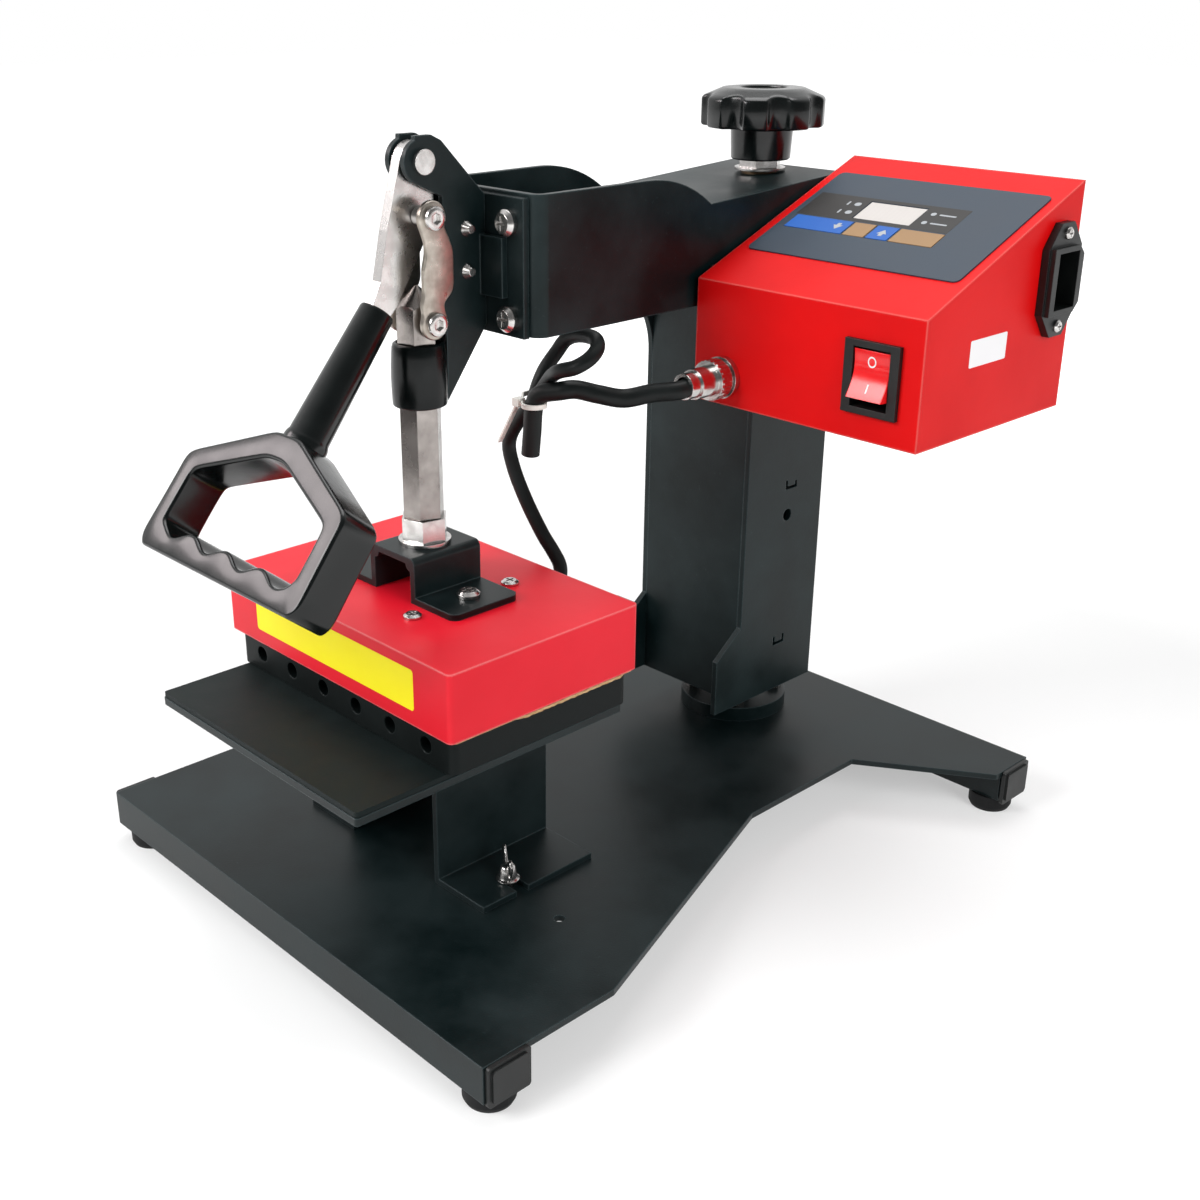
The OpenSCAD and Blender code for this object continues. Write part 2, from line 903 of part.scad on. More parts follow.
module power_inlet() {
  x1 = box_x + box_w;
  place()
    color("#1a1b1d")
    difference() {
      union() {
        translate([x1 + seat, inlet_y, inlet_z])
          rotate([90, 0, 90])
            linear_extrude(height = 3.6)
              polygon([
                [-13.2, -14], [-5, -24.5], [5, -24.5], [13.2, -14],
                [13.2, 14], [5, 24.5], [-5, 24.5], [-13.2, 14]
              ]);
        translate([x1 + 3.6, inlet_y, inlet_z])
          rotate([90, 0, 90])
            linear_extrude(height = 2.4)
              polygon([
                [-12, -14.5], [8, -14.5], [12, -10.5],
                [12, 10.5], [8, 14.5], [-12, 14.5]
              ]);
        translate([x1 - 20, inlet_y - 10.2, inlet_z - 14.2])
          cube([20.1 + seat, 20.4, 28.4]);
      }
      translate([x1 - 16, inlet_y - 8.2, inlet_z - 12.2])
        cube([30, 16.4, 24.4]);
      for (s = [-1, 1])
        bar_x(x1 - 3, x1 + 8, inlet_y, inlet_z + s * 20, 1.55);
    }
  place()
    color("#c9b273")
    for (z = [-7, 0, 7])
      translate([x1 - 18, inlet_y - (z == 0 ? 3.5 : -0.5), inlet_z + z - 1])
        cube([16, 4, 2]);
}

module switch_bezel() {
  place()
    color("#151618")
    difference() {
      union() {
        translate([rock_x - 13.7, box_y - 2.2, rock_z - 15.6])
          cube([27.4, 2.2 - seat, 31.2]);
        translate([rock_x - 11.3, box_y - 0.2, rock_z - 13.6])
          cube([22.6, 20, 27.2]);
      }
      difference() {
        translate([rock_x - 9.3, box_y - 3, rock_z - 12.7])
          cube([18.6, 14, 25.4]);
        bar_x(rock_x - 10, rock_x + 10, box_y + 5, rock_z, 1.5);
      }
    }
}

// the pressed end is sunk and the other end stands proud of the bezel
module switch_rocker() {
  place()
    color("#d8242a")
    translate([rock_x, box_y + 5, rock_z])
      rotate([-12, 0, 0])
        difference() {
          side_prism(-9, 9, [
            [-9.2, 10.3], [-7.4, 5], [-6.8, 0], [-7.4, -5], [-9.2, -10.3],
            [1.5, -9], [3.4, -4], [3.4, 4], [1.5, 9]
          ]);
          bar_x(-10, 10, 0, 0, 1.5 + run);
        }
}

module key_plate(i) {
  on_slope()
    translate([key_x[i], key_s, -0.6])
      cube([key_w[i], key_h, 1.4]);
}

module key_set() {
  place()
    color("#1f5fb0")
    key_plate(0);
}

module key_down() {
  place()
    color("#b08a5a")
    key_plate(1);
}

module key_up() {
  place()
    color("#1f5fb0")
    key_plate(2);
}

module key_mode() {
  place()
    color("#b08a5a")
    key_plate(3);
}

module cable_socket() {
  place()
    color("#c9ccd0")
    difference() {
      union() {
        bar_y(box_y - 10, box_y + 9, sock_x, sock_z, 8);
        bar_y(box_y - 3, box_y - seat, sock_x, sock_z, 9.6);
        translate([sock_x, box_y + box_t + seat, sock_z])
          rotate([-90, 0, 0])
            hexa(19, 3);
      }
      bar_y(box_y - 11, box_y + 4, sock_x, sock_z, 6.9);
    }
}

module cable_plug() {
  place()
    color("#c9ccd0")
    difference() {
      union() {
        bar_y(box_y - 11, box_y - 4.2, sock_x, sock_z, 9);
        bar_y(box_y - 21, box_y - 10.9, sock_x, sock_z, 6.9);
        bar_y(box_y - 27, box_y - 20.9, sock_x, sock_z, 5.9);
        bar_y(box_y - 10, box_y + 2, sock_x, sock_z, 6.8);
      }
      difference() {
        bar_y(box_y - 10.3, box_y, sock_x, sock_z, 8.06);
        bar_y(box_y - 12, box_y + 3, sock_x, sock_z, 6.8);
      }
      bar_y(box_y - 28, box_y - 20, sock_x, sock_z, 4.3);
    }
}

// a round tube along a smooth line through the given points
function mixp(p, q, t) = p * (1 - t) + q * t;
function rail(pts, i) = pts[max(0, min(len(pts) - 1, i))];
function spline(pts, i, t) =
  let (a = rail(pts, i - 1), b = rail(pts, i), c = rail(pts, i + 1), d = rail(pts, i + 2))
  0.5 * ((2 * b) + (c - a) * t + (2 * a - 5 * b + 4 * c - d) * t * t
         + (3 * b - a - 3 * c + d) * t * t * t);
function smooth(pts, n) = [
  for (i = [0:len(pts) - 2], k = [0:n - 1]) spline(pts, i, k / n),
  pts[len(pts) - 1]
];
function unit(v) = v / norm(v);
function heading(line, i) =
  unit(line[min(len(line) - 1, i + 1)] - line[max(0, i - 1)]);
// carries one side direction along the line so that the tube doesn't twist
function carry(line, i, side) =
  let (h = heading(line, i))
  unit(side - (side * h) * h);
function sides_of(line, i, side, got) =
  i >= len(line) ? got
  : let (s = carry(line, i, side)) sides_of(line, i + 1, s, concat(got, [s]));

module tube(pts, r, n, k) {
  line = smooth(pts, n);
  m = len(line);
  us = sides_of(line, 0, unit(cross(heading(line, 0), [0.12, 0.1, 1])), []);
  rings = [
    for (i = [0:m - 1], j = [0:k - 1])
      let (h = heading(line, i), u = us[i], v = cross(h, u))
      line[i] + r * (cos(360 * j / k) * u + sin(360 * j / k) * v)
  ];
  faces = concat(
    [[for (j = [0:k - 1]) k - 1 - j]],
    [for (i = [0:m - 2], j = [0:k - 1])
      [i * k + j, i * k + (j + 1) % k, (i + 1) * k + (j + 1) % k]],
    [for (i = [0:m - 2], j = [0:k - 1])
      [i * k + j, (i + 1) * k + (j + 1) % k, (i + 1) * k + j]],
    [[for (j = [0:k - 1]) (m - 1) * k + j]]
  );
  polyhedron(points = rings, faces = [for (f = faces) [for (q = [len(f) - 1:-1:0]) f[q]]]);
}

plug_route = [
  [sock_x, box_y - 20.3, sock_z], [sock_x, box_y - 30, sock_z - 1], [48.5, -125, 237],
  [41, -135, 235], [35, -145, 237.5], [27.2, -151, 239.2], [22, -156, 238.4],
  [13.2, -160, 235.7], [10, -160.5, 229], [8.6, -160.3, 218], [7, -160, 207]
];
heater_route = [
  [-4, -148.5, 225], [-1, -148.5, 234], [1, -145.6, 242.4], [5.3, -142.2, 250.7],
  [10.2, -141, 257], [18.2, -140.6, 260.2], [29.1, -142, 260.8], [35.9, -146.8, 258.6],
  [37.6, -153, 255.2], [34.2, -158.4, 251.6], [25.6, -159.2, 248.6], [16.2, -155, 244.2],
  [9.8, -152.8, 238.8], [3.4, -153.3, 230.6], [-5.4, -154.5, 220.5], [-13, -155, 208],
  [-11, -154.6, 196], [-3.9, -153.4, 181.3], [4.8, -151.2, 166.5], [9.4, -148.4, 157.8],
  [gland_x - 2.8, -146.8, gland_z + 9.8], [gland_x - 1.2, -147.6, gland_z + 5],
  [gland_x - 0.3, -150.8, gland_z + 1.4], [gland_x, -156, gland_z],
  [gland_x, ram_y + cover_d / 2 + 3.2 + seat, gland_z]
];

module plug_cable() {
  place()
    color("#1b1c1e")
    tube(plug_route, 4.2, 3, 10);
}

module heater_cable() {
  place()
    color("#1b1c1e")
    tube(heater_route, 3.3, 2, 10);
}

module cable_tie() {
  place()
    color("#e9e6df")
      translate([4.4, -155.2, 229.6]) {
        rotate([0, 0, 137])
          difference() {
            round_box(27.4, 11.8, 2.2, 5.8);
            translate([0, 0, -1])
              round_box(25.4, 9.8, 5, 4.8);
          }
        translate([-4.4, -9.4, -0.6])
          cube([4.2, 4.2, 3.6]);
        translate([-2.4, -8.5, 1])
          rotate([0, 32, 0])
            translate([-0.5, 0, -25])
              cube([1, 2.4, 25]);
      }
}

// --------------------------------------------------------- pressure screw

module star_knob() {
  lobes = 8;
  place()
    color("#1c1d1f")
    difference() {
      union() {
        translate([0, 0, hub_z])
          cylinder(r1 = 14.4, r2 = 15.2, h = rim_z - hub_z + 1, $fn = 64);
        difference() {
          union() {
            translate([0, 0, rim_z])
              disc(29.8, 14.5);
            translate([0, 0, rim_z + 14.4])
              cylinder(r1 = 29.8, r2 = 20, h = 4.2, $fn = 64);
          }
          for (i = [0:lobes - 1])
            rotate([0, 0, i * 360 / lobes + 10])
              translate([33.8, 0, rim_z - 1])
                disc(7.6, 24);
        }
      }
      translate([0, 0, rim_z + 16.8])
        disc(11, 4);
      translate([0, 0, hub_z - 1])
        disc(screw_r + seat, 18);
    }
}

module pressure_screw() {
  place()
    color("#b9bcc0") {
    translate([0, 0, post_top_z - 60])
      disc(screw_r, hub_z + 16 - post_top_z + 60);
    translate([0, 0, sleeve_top - 10])
      disc(post_r - 1, 10 - pass);
  }
}

module jam_nut() {
  place()
    color("#d5d7da")
    difference() {
      union() {
        translate([0, 0, nut_z])
          disc(12.4, 1.2);
        translate([0, 0, nut_z + 1.1])
          hexa(18.5, hub_z - seat - nut_z - 1.1);
      }
      translate([0, 0, nut_z - 1])
        disc(screw_r + seat, 12);
    }
}

// ------------------------------------------------------------- press head

module hex_ram() {
  place()
    color("#c4c7cb")
    difference() {
      union() {
        translate([0, ram_y, hat_z - 8])
          disc(5.95, 9);
        translate([0, ram_y, hat_z + 12.2])
          rotate([0, 0, 12])
            hexa(hex_af, pin_low_z - 12 - hat_z - 12.2);
        translate([0, ram_y, hat_z])
          disc(5.95, 13);
        intersection() {
          translate([0, ram_y, pin_low_z - 12.1])
            rotate([0, 0, 12])
              hexa(hex_af, 26.5);
          translate([0, ram_y, pin_low_z - 12.2])
            cylinder(r1 = 26.8, r2 = 0.6, h = 26.7, $fn = 64);
        }
      }
      bar_x(-12, 12, ram_y, pin_low_z, pin_r + run);
    }
}

module ram_nut() {
  place()
    color("#d5d7da")
    difference() {
      union() {
        translate([0, ram_y, hat_z + seat])
          disc(11.6, 1.8);
        translate([0, ram_y, hat_z + 1.8])
          rotate([0, 0, 18])
            hexa(18.6, 10.3);
        translate([0, ram_y, hat_z - 3 - seat - 6])
          rotate([0, 0, 10])
            hexa(16, 6);
      }
      translate([0, ram_y, hat_z - 12])
        disc(6, 40);
    }
}

module hat_bracket() {
  y0 = ram_y - 18.5;
  place()
    color("#1f2123")
    difference() {
      union() {
        translate([-12.5, y0, hat_z - 3])
          cube([25, 37, 3]);
        for (s = [-1, 1]) {
          bar_y(y0, y0 + 37, s * 12.5, hat_z - 3, 3);
          translate([s * 14 - 1.5, y0, cover_top + seat])
            cube([3, 37, hat_z - cover_top - seat - 3]);
          translate([s * 28, ram_y, cover_top + seat])
            round_box(27, 37, 3, 4);
          translate([s * 18 - 3.5, y0, cover_top + seat])
            cube([7, 37, 3]);
        }
      }
      translate([0, ram_y, hat_z - 5])
        disc(6.05, 8);
      for (s = [-1, 1])
        translate([s * 29, ram_y, cover_top - 1])
          disc(2.55, 6);
    }
}

module cover_screws() {
  place()
    color("#d5d7da") {
    for (s = [-1, 1]) {
      translate([s * 29, ram_y, cover_top + 3 + 2 * seat])
        pan_head(5.2, 3);
      translate([s * 29, ram_y, cover_top - 14])
        disc(2.5, 17.2);
      for (j = [-1, 1]) {
        translate([s * 25, ram_y + j * 27.5, cover_top + seat])
          pan_head(4, 2);
        translate([s * 25, ram_y + j * 27.5, cover_top - 8])
          disc(2, 8.2);
      }
    }
  }
}

module heater_cover() {
  place()
    color("#d2141c")
    difference() {
      translate([0, ram_y, cover_z])
        round_box(cover_w, cover_d, cover_h, 2.5);
      translate([0, ram_y, cover_z - 1])
        round_box(cover_w - 2.4, cover_d - 2.4, cover_h - 0.2, 1.4);
      for (s = [-1, 1]) {
        translate([s * 29, ram_y, cover_top - 3])
          disc(2.55, 5);
        for (j = [-1, 1])
          translate([s * 25, ram_y + j * 27.5, cover_top - 3])
            disc(2.05, 5);
      }
      bar_y(ram_y + cover_d / 2 - 3, ram_y + cover_d / 2 + 1, gland_x, gland_z, 4.55);
    }
}

module heater_studs() {
  top_z = cover_top - 1.2 - seat;
  place()
    color("#b9bcc0")
    for (s = [-1, 1]) {
      translate([s * 29, ram_y, board_z + 3 + seat])
        difference() {
          disc(6, top_z - board_z - 3 - seat);
          translate([0, 0, 1])
            disc(2.55, 60);
        }
      for (j = [-1, 1])
        translate([s * 25, ram_y + j * 27.5, board_z + 3 + seat])
          difference() {
            disc(5, top_z - board_z - 3 - seat);
            translate([0, 0, 1])
              disc(2.05, 60);
          }
    }
}

module insulation_board() {
  place()
    color("#e6d2bf")
    translate([0, ram_y + 1, board_z + seat])
      round_box(cover_w - 3, cover_d - 5, 3 - seat, 1.2);
}

module heater_block() {
  place()
    color("#2a2b2d")
    difference() {
      translate([0, ram_y, block_z])
        round_box(cover_w - 6, cover_d - 6, block_h, 4);
      for (x = [-60:24:60])
        bar_y(ram_y - cover_d / 2, ram_y - cover_d / 2 + 13, x, block_z + 8.4, 3.7);
    }
}

module cable_gland() {
  y1 = ram_y + cover_d / 2;
  place()
    color("#17181a")
    difference() {
      union() {
        bar_y(y1 - 3, y1 + seat, gland_x, gland_z, 4.5);
        bar_y(y1 + seat, y1 + 3.2, gland_x, gland_z, 6.2);
      }
      bar_y(y1 - 4, y1 + 5, gland_x, gland_z, 3.4);
    }
}

// ----------------------------------------------------------- toggle lever

// children drawn in the lever's own frame: pivot at the origin and the grip
// pointing along -Z, parallel to the line y = 20.5
module on_lever() {
  translate([0, ram_y, pin_top_z])
    rotate([-lever_tilt, 0, 0])
      children();
}

module lever_arm() {
  knee_y = crank_len * sin(lever_tilt);
  knee_z = -crank_len * cos(lever_tilt);
  place()
    color("#c4c7cb")
    on_lever()
      difference() {
        union() {
          bar_x(-lever_t / 2, lever_t / 2, 0, 0, 7.8);
          bar_x(-lever_t / 2, lever_t / 2, knee_y, knee_z, 8);
          side_prism(-lever_t / 2, lever_t / 2, [
            [-7.6, -3], [5, 6.4], [knee_y + 7.4, knee_z + 4],
            [knee_y + 8.4, knee_z - 2], [26, -50], [25.2, -60],
            [25.2, -84], [15.8, -84], [15.8, -60], [13, -48], [4, -30]
          ]);
        }
        bar_x(-5, 5, 0, 0, pin_r + run);
      }
}

module lever_handle() {
  g0 = -57;
  g1 = -121;
  place()
    color("#1c1d1f")
    on_lever()
      difference() {
        union() {
          translate([0, grip_y, g1 - 4])
            cylinder(r1 = 8.9, r2 = 7.4, h = g0 - g1 + 4, $fn = 64);
          translate([0, grip_y, 0])
            rotate([90, 0, 0])
              translate([0, 0, -10])
                linear_extrude(height = 20)
                  difference() {
                    polygon([
                      [-8, -119.5], [8, -119.5], [53, -139], [56, -142], [57, -180],
                      [54, -184.5], [-54, -184.5], [-57, -180], [-56, -142], [-53, -139]
                    ]);
                    polygon([
                      [-6, -131], [6, -131], [46, -147], [47, -150], [47.5, -172],
                      [-47.5, -172], [-47, -150], [-46, -147]
                    ]);
                    for (i = [-1.5:1:1.5])
                      translate([i * 21.5, -166])
                        circle(r = 10.5, $fn = 48);
                  }
        }
        translate([-lever_t / 2 - 0.2, grip_y - 6, -85])
          cube([lever_t + 0.4, 11.2, 40]);
      }
}

module toggle_links() {
  place()
    color("#d9dbde") {
    for (s = [-1, 1]) {
      bar_x(s * link_x - link_t / 2, s * link_x + link_t / 2, ram_y, pin_mid_z, 7);
      bar_x(s * link_x - link_t / 2, s * link_x + link_t / 2, ram_y, pin_low_z, 6.8);
      side_prism(s * link_x - link_t / 2, s * link_x + link_t / 2, [
        [ram_y - 6, pin_mid_z - 4], [ram_y - 3.6, pin_mid_z - 10],
        [ram_y - 3.6, pin_mid_z - 14], [ram_y - 5.2, pin_mid_z - 20],
        [ram_y - 5.2, pin_low_z + 13], [ram_y - 6.4, pin_low_z + 8],
        [ram_y - 6, pin_low_z + 2], [ram_y + 5, pin_low_z + 2],
        [ram_y + 5, pin_low_z + 8], [ram_y + 9.4, pin_low_z + 12],
        [ram_y + 10.4, pin_low_z + 15], [ram_y + 10.4, pin_mid_z - 14],
        [ram_y + 9, pin_mid_z - 10], [ram_y + 6, pin_mid_z - 4]
      ]);
      bar_x(s * (lever_t / 2 + link_out + 0.4) / 2 - (link_out - lever_t / 2 - 0.4) / 2,
            s * (lever_t / 2 + link_out + 0.4) / 2 + (link_out - lever_t / 2 - 0.4) / 2,
            ram_y, pin_mid_z, pin_r);
      for (z = [pin_mid_z, pin_low_z])
        bar_x(s * (link_out + 1.2) - 1.3, s * (link_out + 1.2) + 1.3, ram_y, z, 4.9);
    }
    bar_x(-link_out, link_out, ram_y, pin_low_z, pin_r);
  }
}

// -------------------------------------------------------------- selection

base_plate();
front_bar();
rear_bar();
end_caps();
rubber_feet();
base_screws();
pivot_flange();
swing_post();
platen_stand();
lower_platen();
silicone_pad();
platen_bolts();
wing_bolt_right();
wing_bolt_left();
swing_sleeve();
arm_frame();
column_front();
column_rear();
arm_top_plate();
pivot_tube();
clamp_plate();
plate_screws();
clamp_bracket();
guide_sleeve();
top_pin();
box_bracket();
box_shell();
box_back();
box_screws();
display_overlay();
display_lcd();
control_board();
relay_module();
power_inlet();
switch_bezel();
switch_rocker();
key_set();
key_down();
key_up();
key_mode();
cable_socket();
cable_plug();
plug_cable();
heater_cable();
cable_tie();
star_knob();
pressure_screw();
jam_nut();
hex_ram();
ram_nut();
hat_bracket();
cover_screws();
heater_cover();
heater_studs();
insulation_board();
heater_block();
cable_gland();
lever_arm();
lever_handle();
toggle_links();
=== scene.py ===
"""Looks of the swing-away tabletop heat press.

Everything is in metres in the row's frame. Sizes of the pieces are written in
millimetres of the press's own frame, whose origin is the swing post on the
floor, and spot() turns them into row positions.
"""
import math

import bmesh
import bpy
from mathutils import Matrix, Vector


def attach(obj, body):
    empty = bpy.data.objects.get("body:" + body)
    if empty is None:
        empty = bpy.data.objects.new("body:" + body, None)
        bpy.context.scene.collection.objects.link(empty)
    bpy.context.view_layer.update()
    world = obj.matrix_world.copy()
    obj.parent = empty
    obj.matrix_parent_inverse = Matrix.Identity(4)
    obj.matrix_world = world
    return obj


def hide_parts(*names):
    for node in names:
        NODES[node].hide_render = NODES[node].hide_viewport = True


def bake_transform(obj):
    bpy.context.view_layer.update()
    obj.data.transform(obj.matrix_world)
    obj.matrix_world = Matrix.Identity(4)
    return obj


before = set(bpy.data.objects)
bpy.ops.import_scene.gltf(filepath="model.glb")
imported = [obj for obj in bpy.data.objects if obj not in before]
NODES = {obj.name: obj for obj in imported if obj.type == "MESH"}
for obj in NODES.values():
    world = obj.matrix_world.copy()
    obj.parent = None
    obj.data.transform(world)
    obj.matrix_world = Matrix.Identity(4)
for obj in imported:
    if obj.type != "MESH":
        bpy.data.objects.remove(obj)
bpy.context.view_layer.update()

MM = 0.001
POST_X, POST_Y = -6.225, 132.225  # the post's axis in the row frame
RAM_Y = -216.5  # the ram's axis
TOP_PIN_Z, KNEE_Z, RAM_PIN_Z = 339.5, 318.2, 275.5  # the toggle's three pins
BOX = Vector((38.5, -86.0, 281.3))  # lower front edge of the sloping panel
BOX_TILT = math.atan2(44.5, 110.3)  # rise and depth of the panel
BOX_SIDE_X = 160.5
LEVER_TILT = math.radians(39)
GRIP_Y = 20.5  # the grip's middle, in the lever's own frame
GRIP_DEEP = 20  # the grip's depth, front to back
COVER_FRONT_Y = -269.5
FILM_THICK = 0.65  # keypad film
PLUG_CABLE_R, HEATER_CABLE_R = 4.2, 3.3


def spot(x, y, z):
    """A point of the press, given in mm from the post's foot, in the row frame."""
    return Vector(((x + POST_X) * MM, (y + POST_Y) * MM, z * MM))


def on_panel(x, s, h=0.0):
    """A point on the sloping panel: x from the box's left, s up the slope, h out of it."""
    c, t = math.cos(BOX_TILT), math.sin(BOX_TILT)
    return spot(BOX.x + x, BOX.y + s * c - h * t, BOX.z + s * t + h * c)


def on_lever(x, y, z):
    """A point of the lever in its own frame: pivot at the origin, grip along -z."""
    c, t = math.cos(LEVER_TILT), math.sin(LEVER_TILT)
    return spot(x, RAM_Y + y * c + z * t, TOP_PIN_Z - y * t + z * c)


# ------------------------------------------------------------ camera and light

def make_camera():
    """A standing operator's view from the front right, level with the lens shift."""
    data = bpy.data.cameras.new("studio_camera")
    data.sensor_width = 36
    data.lens = 45.64
    data.shift_x = 0.0408
    data.shift_y = 0.0014
    data.clip_start = 0.01
    camera = bpy.data.objects.new("studio_camera", data)
    ahead = Vector((-0.6739, 0.6281, -0.3891)).normalized()
    right = ahead.cross(Vector((-0.2847, 0.2653, 0.9212))).normalized()
    over = right.cross(ahead)
    turn = Matrix((right, over, -ahead)).transposed().to_4x4()
    camera.matrix_world = Matrix.Translation(spot(496.3, -603.3, 413.3)) @ turn
    bpy.context.scene.collection.objects.link(camera)
    bpy.context.scene.camera = camera


def soft_box(name, place, target, size, power):
    """A square soft box lamp that looks at target."""
    data = bpy.data.lights.new(name, "AREA")
    data.shape = "RECTANGLE"
    data.size, data.size_y = size
    data.energy = power
    lamp = bpy.data.objects.new(name, data)
    lamp.location = place
    lamp.rotation_euler = (Vector(target) - Vector(place)).to_track_quat("-Z", "Y").to_euler()
    bpy.context.scene.collection.objects.link(lamp)
    return lamp


# --------------------------------------------------------------- cord routes

PLUG_ROUTE = [
    (56, -106.3, 239), (56, -116, 238), (48.5, -125, 237), (41, -135, 235),
    (35, -145, 237.5), (27.2, -151, 239.2), (22, -156, 238.4), (13.2, -160, 235.7),
    (10, -160.5, 229), (8.6, -160.3, 218), (7, -160, 207),
]
HEATER_ROUTE = [
    (-4, -148.5, 225), (-1, -148.5, 234), (1, -145.6, 242.4), (5.3, -142.2, 250.7),
    (10.2, -141, 257), (18.2, -140.6, 260.2), (29.1, -142, 260.8), (35.9, -146.8, 258.6),
    (37.6, -153, 255.2), (34.2, -158.4, 251.6), (25.6, -159.2, 248.6), (16.2, -155, 244.2),
    (9.8, -152.8, 238.8), (3.4, -153.3, 230.6), (-5.4, -154.5, 220.5), (-13, -155, 208),
    (-11, -154.6, 196), (-3.9, -153.4, 181.3), (4.8, -151.2, 166.5), (9.4, -148.4, 157.8),
    (12.2, -146.8, 151.8), (13.8, -147.6, 147), (14.7, -150.8, 143.4), (15, -156, 142),
    (15, -160.25, 142),
]


def smooth_route(points, steps):
    """The curve through the given mm points, in the row frame."""
    p = [spot(*q) for q in points]
    line = []
    for i in range(len(p) - 1):
        a, b, c, d = p[max(0, i - 1)], p[i], p[i + 1], p[min(len(p) - 1, i + 2)]
        for k in range(steps):
            t = k / steps
            line.append(0.5 * (2 * b + (c - a) * t + (2 * a - 5 * b + 4 * c - d) * t * t
                               + (3 * b - a - 3 * c + d) * t ** 3))
    line.append(p[-1])
    return line


# ------------------------------------------------------------- mesh building

def new_piece(name, verts, faces, material, smooth=True):
    """An object at the origin from points in metres."""
    mesh = bpy.data.meshes.new(name)
    mesh.from_pydata([tuple(v) for v in verts], [], faces)
    mesh.validate()
    mesh.materials.append(material)
    for poly in mesh.polygons:
        poly.use_smooth = smooth
    piece = bpy.data.objects.new(name, mesh)
    bpy.context.scene.collection.objects.link(piece)
    return piece


def outward(piece):
    """Merges doubles and points every face out."""
    bm = bmesh.new()
    bm.from_mesh(piece.data)
    bmesh.ops.remove_doubles(bm, verts=bm.verts, dist=1e-6)
    bmesh.ops.recalc_face_normals(bm, faces=bm.faces)
    bm.to_mesh(piece.data)
    bm.free()
    piece.data.set_sharp_from_angle(angle=math.radians(32))
    return piece


def loft(rings, around=False, caps=True):
    """Vertices and faces of a skin over closed rings; around joins last to first."""
    n = len(rings[0])
    verts = [v for ring in rings for v in ring]
    faces = []
    last = len(rings) if around else len(rings) - 1
    for i in range(last):
        j = (i + 1) % len(rings)
        for k in range(n):
            m = (k + 1) % n
            faces.append((i * n + k, i * n + m, j * n + m, j * n + k))
    if caps and not around:
        faces.append(tuple(reversed(range(n))))
        faces.append(tuple((len(rings) - 1) * n + k for k in range(n)))
    return verts, faces


def lathe(name, profile, to_place, material, sides=72):
    """Turns (radius, height) pairs round the local z axis; to_place puts a local point."""
    rings = [
        [to_place(r * math.cos(2 * math.pi * k / sides), r * math.sin(2 * math.pi * k / sides), h)
         for k in range(sides)]
        for r, h in profile
    ]
    return outward(new_piece(name, *loft(rings), material))


def tube(name, line, radius, material, sides=20):
    """A round jacket along a line, closed by flat ends."""
    side = (line[1] - line[0]).cross(Vector((0.12, 0.1, 1))).normalized()
    rings = []
    for i, point in enumerate(line):
        ahead = (line[min(len(line) - 1, i + 1)] - line[max(0, i - 1)]).normalized()
        side = (side - side.dot(ahead) * ahead).normalized()
        up = ahead.cross(side)
        rings.append([
            point + radius * (math.cos(2 * math.pi * k / sides) * side
                              + math.sin(2 * math.pi * k / sides) * up)
            for k in range(sides)
        ])
    return outward(new_piece(name, *loft(rings), material))


def plate(name, outline, thickness, to_place, material, bevel=0.0):
    """A flat plate: outline in local (x, y), raised by thickness, put by to_place."""
    low = [to_place(x, y, 0) for x, y in outline]
    high = [to_place(x, y, thickness) for x, y in outline]
    piece = outward(new_piece(name, *loft([low, high]), material, smooth=False))
    if bevel:
        edge = piece.modifiers.new("edge", "BEVEL")
        edge.width = bevel * MM
        edge.segments = 2
        edge.limit_method = "ANGLE"
    return piece


def softened(line, passes):
    """A closed outline with its corners eased by averaging each point with its neighbours."""
    for _ in range(passes):
        line = [[(line[i - 1][c] + 2 * line[i][c] + line[(i + 1) % len(line)][c]) / 4
                 for c in (0, 1)] for i in range(len(line))]
    return line


def round_outline(w, h, r, cx=0.0, cy=0.0, steps=6):
    """Corner-rounded rectangle, as (x, y) points."""
    points = []
    for sx, sy, a0 in ((1, 1, 0), (-1, 1, 90), (-1, -1, 180), (1, -1, 270)):
        for k in range(steps + 1):
            a = math.radians(a0 + 90 * k / steps)
            points.append((cx + sx * (w / 2 - r) + r * math.cos(a),
                           cy + sy * (h / 2 - r) + r * math.sin(a)))
    return points


# ----------------------------------------------------------------- materials

def colour(hexa):
    """sRGB hex to linear RGBA."""
    part = [int(hexa[i:i + 2], 16) / 255 for i in (1, 3, 5)]
    return tuple(c / 12.92 if c <= 0.04045 else ((c + 0.055) / 1.055) ** 2.4 for c in part) + (1.0,)


def add(tree, kind, settings=None, values=None, links=None):
    """Adds a node with its settings, socket values and incoming links."""
    node = tree.nodes.new(kind)
    for key, value in (settings or {}).items():
        setattr(node, key, value)
    for key, value in (values or {}).items():
        node.inputs[key].default_value = value
    for key, source in (links or {}).items():
        tree.links.new(source, node.inputs[key])
    return node


def start(name):
    """An empty material with a shader, its output and the object coordinates."""
    material = bpy.data.materials.new(name)
    material.use_nodes = True
    tree = material.node_tree
    tree.nodes.clear()
    place = add(tree, "ShaderNodeTexCoord")
    shader = add(tree, "ShaderNodeBsdfPrincipled")
    add(tree, "ShaderNodeOutputMaterial", links={"Surface": shader.outputs["BSDF"]})
    return material, tree, place.outputs["Object"], shader


def noise(tree, at, size_mm, detail=3.0, rough=0.55):
    """Noise whose blobs are about size_mm across."""
    return add(tree, "ShaderNodeTexNoise", values={
        "Scale": 1 / (size_mm * MM), "Detail": detail, "Roughness": rough,
    }, links={"Vector": at}).outputs["Fac"]


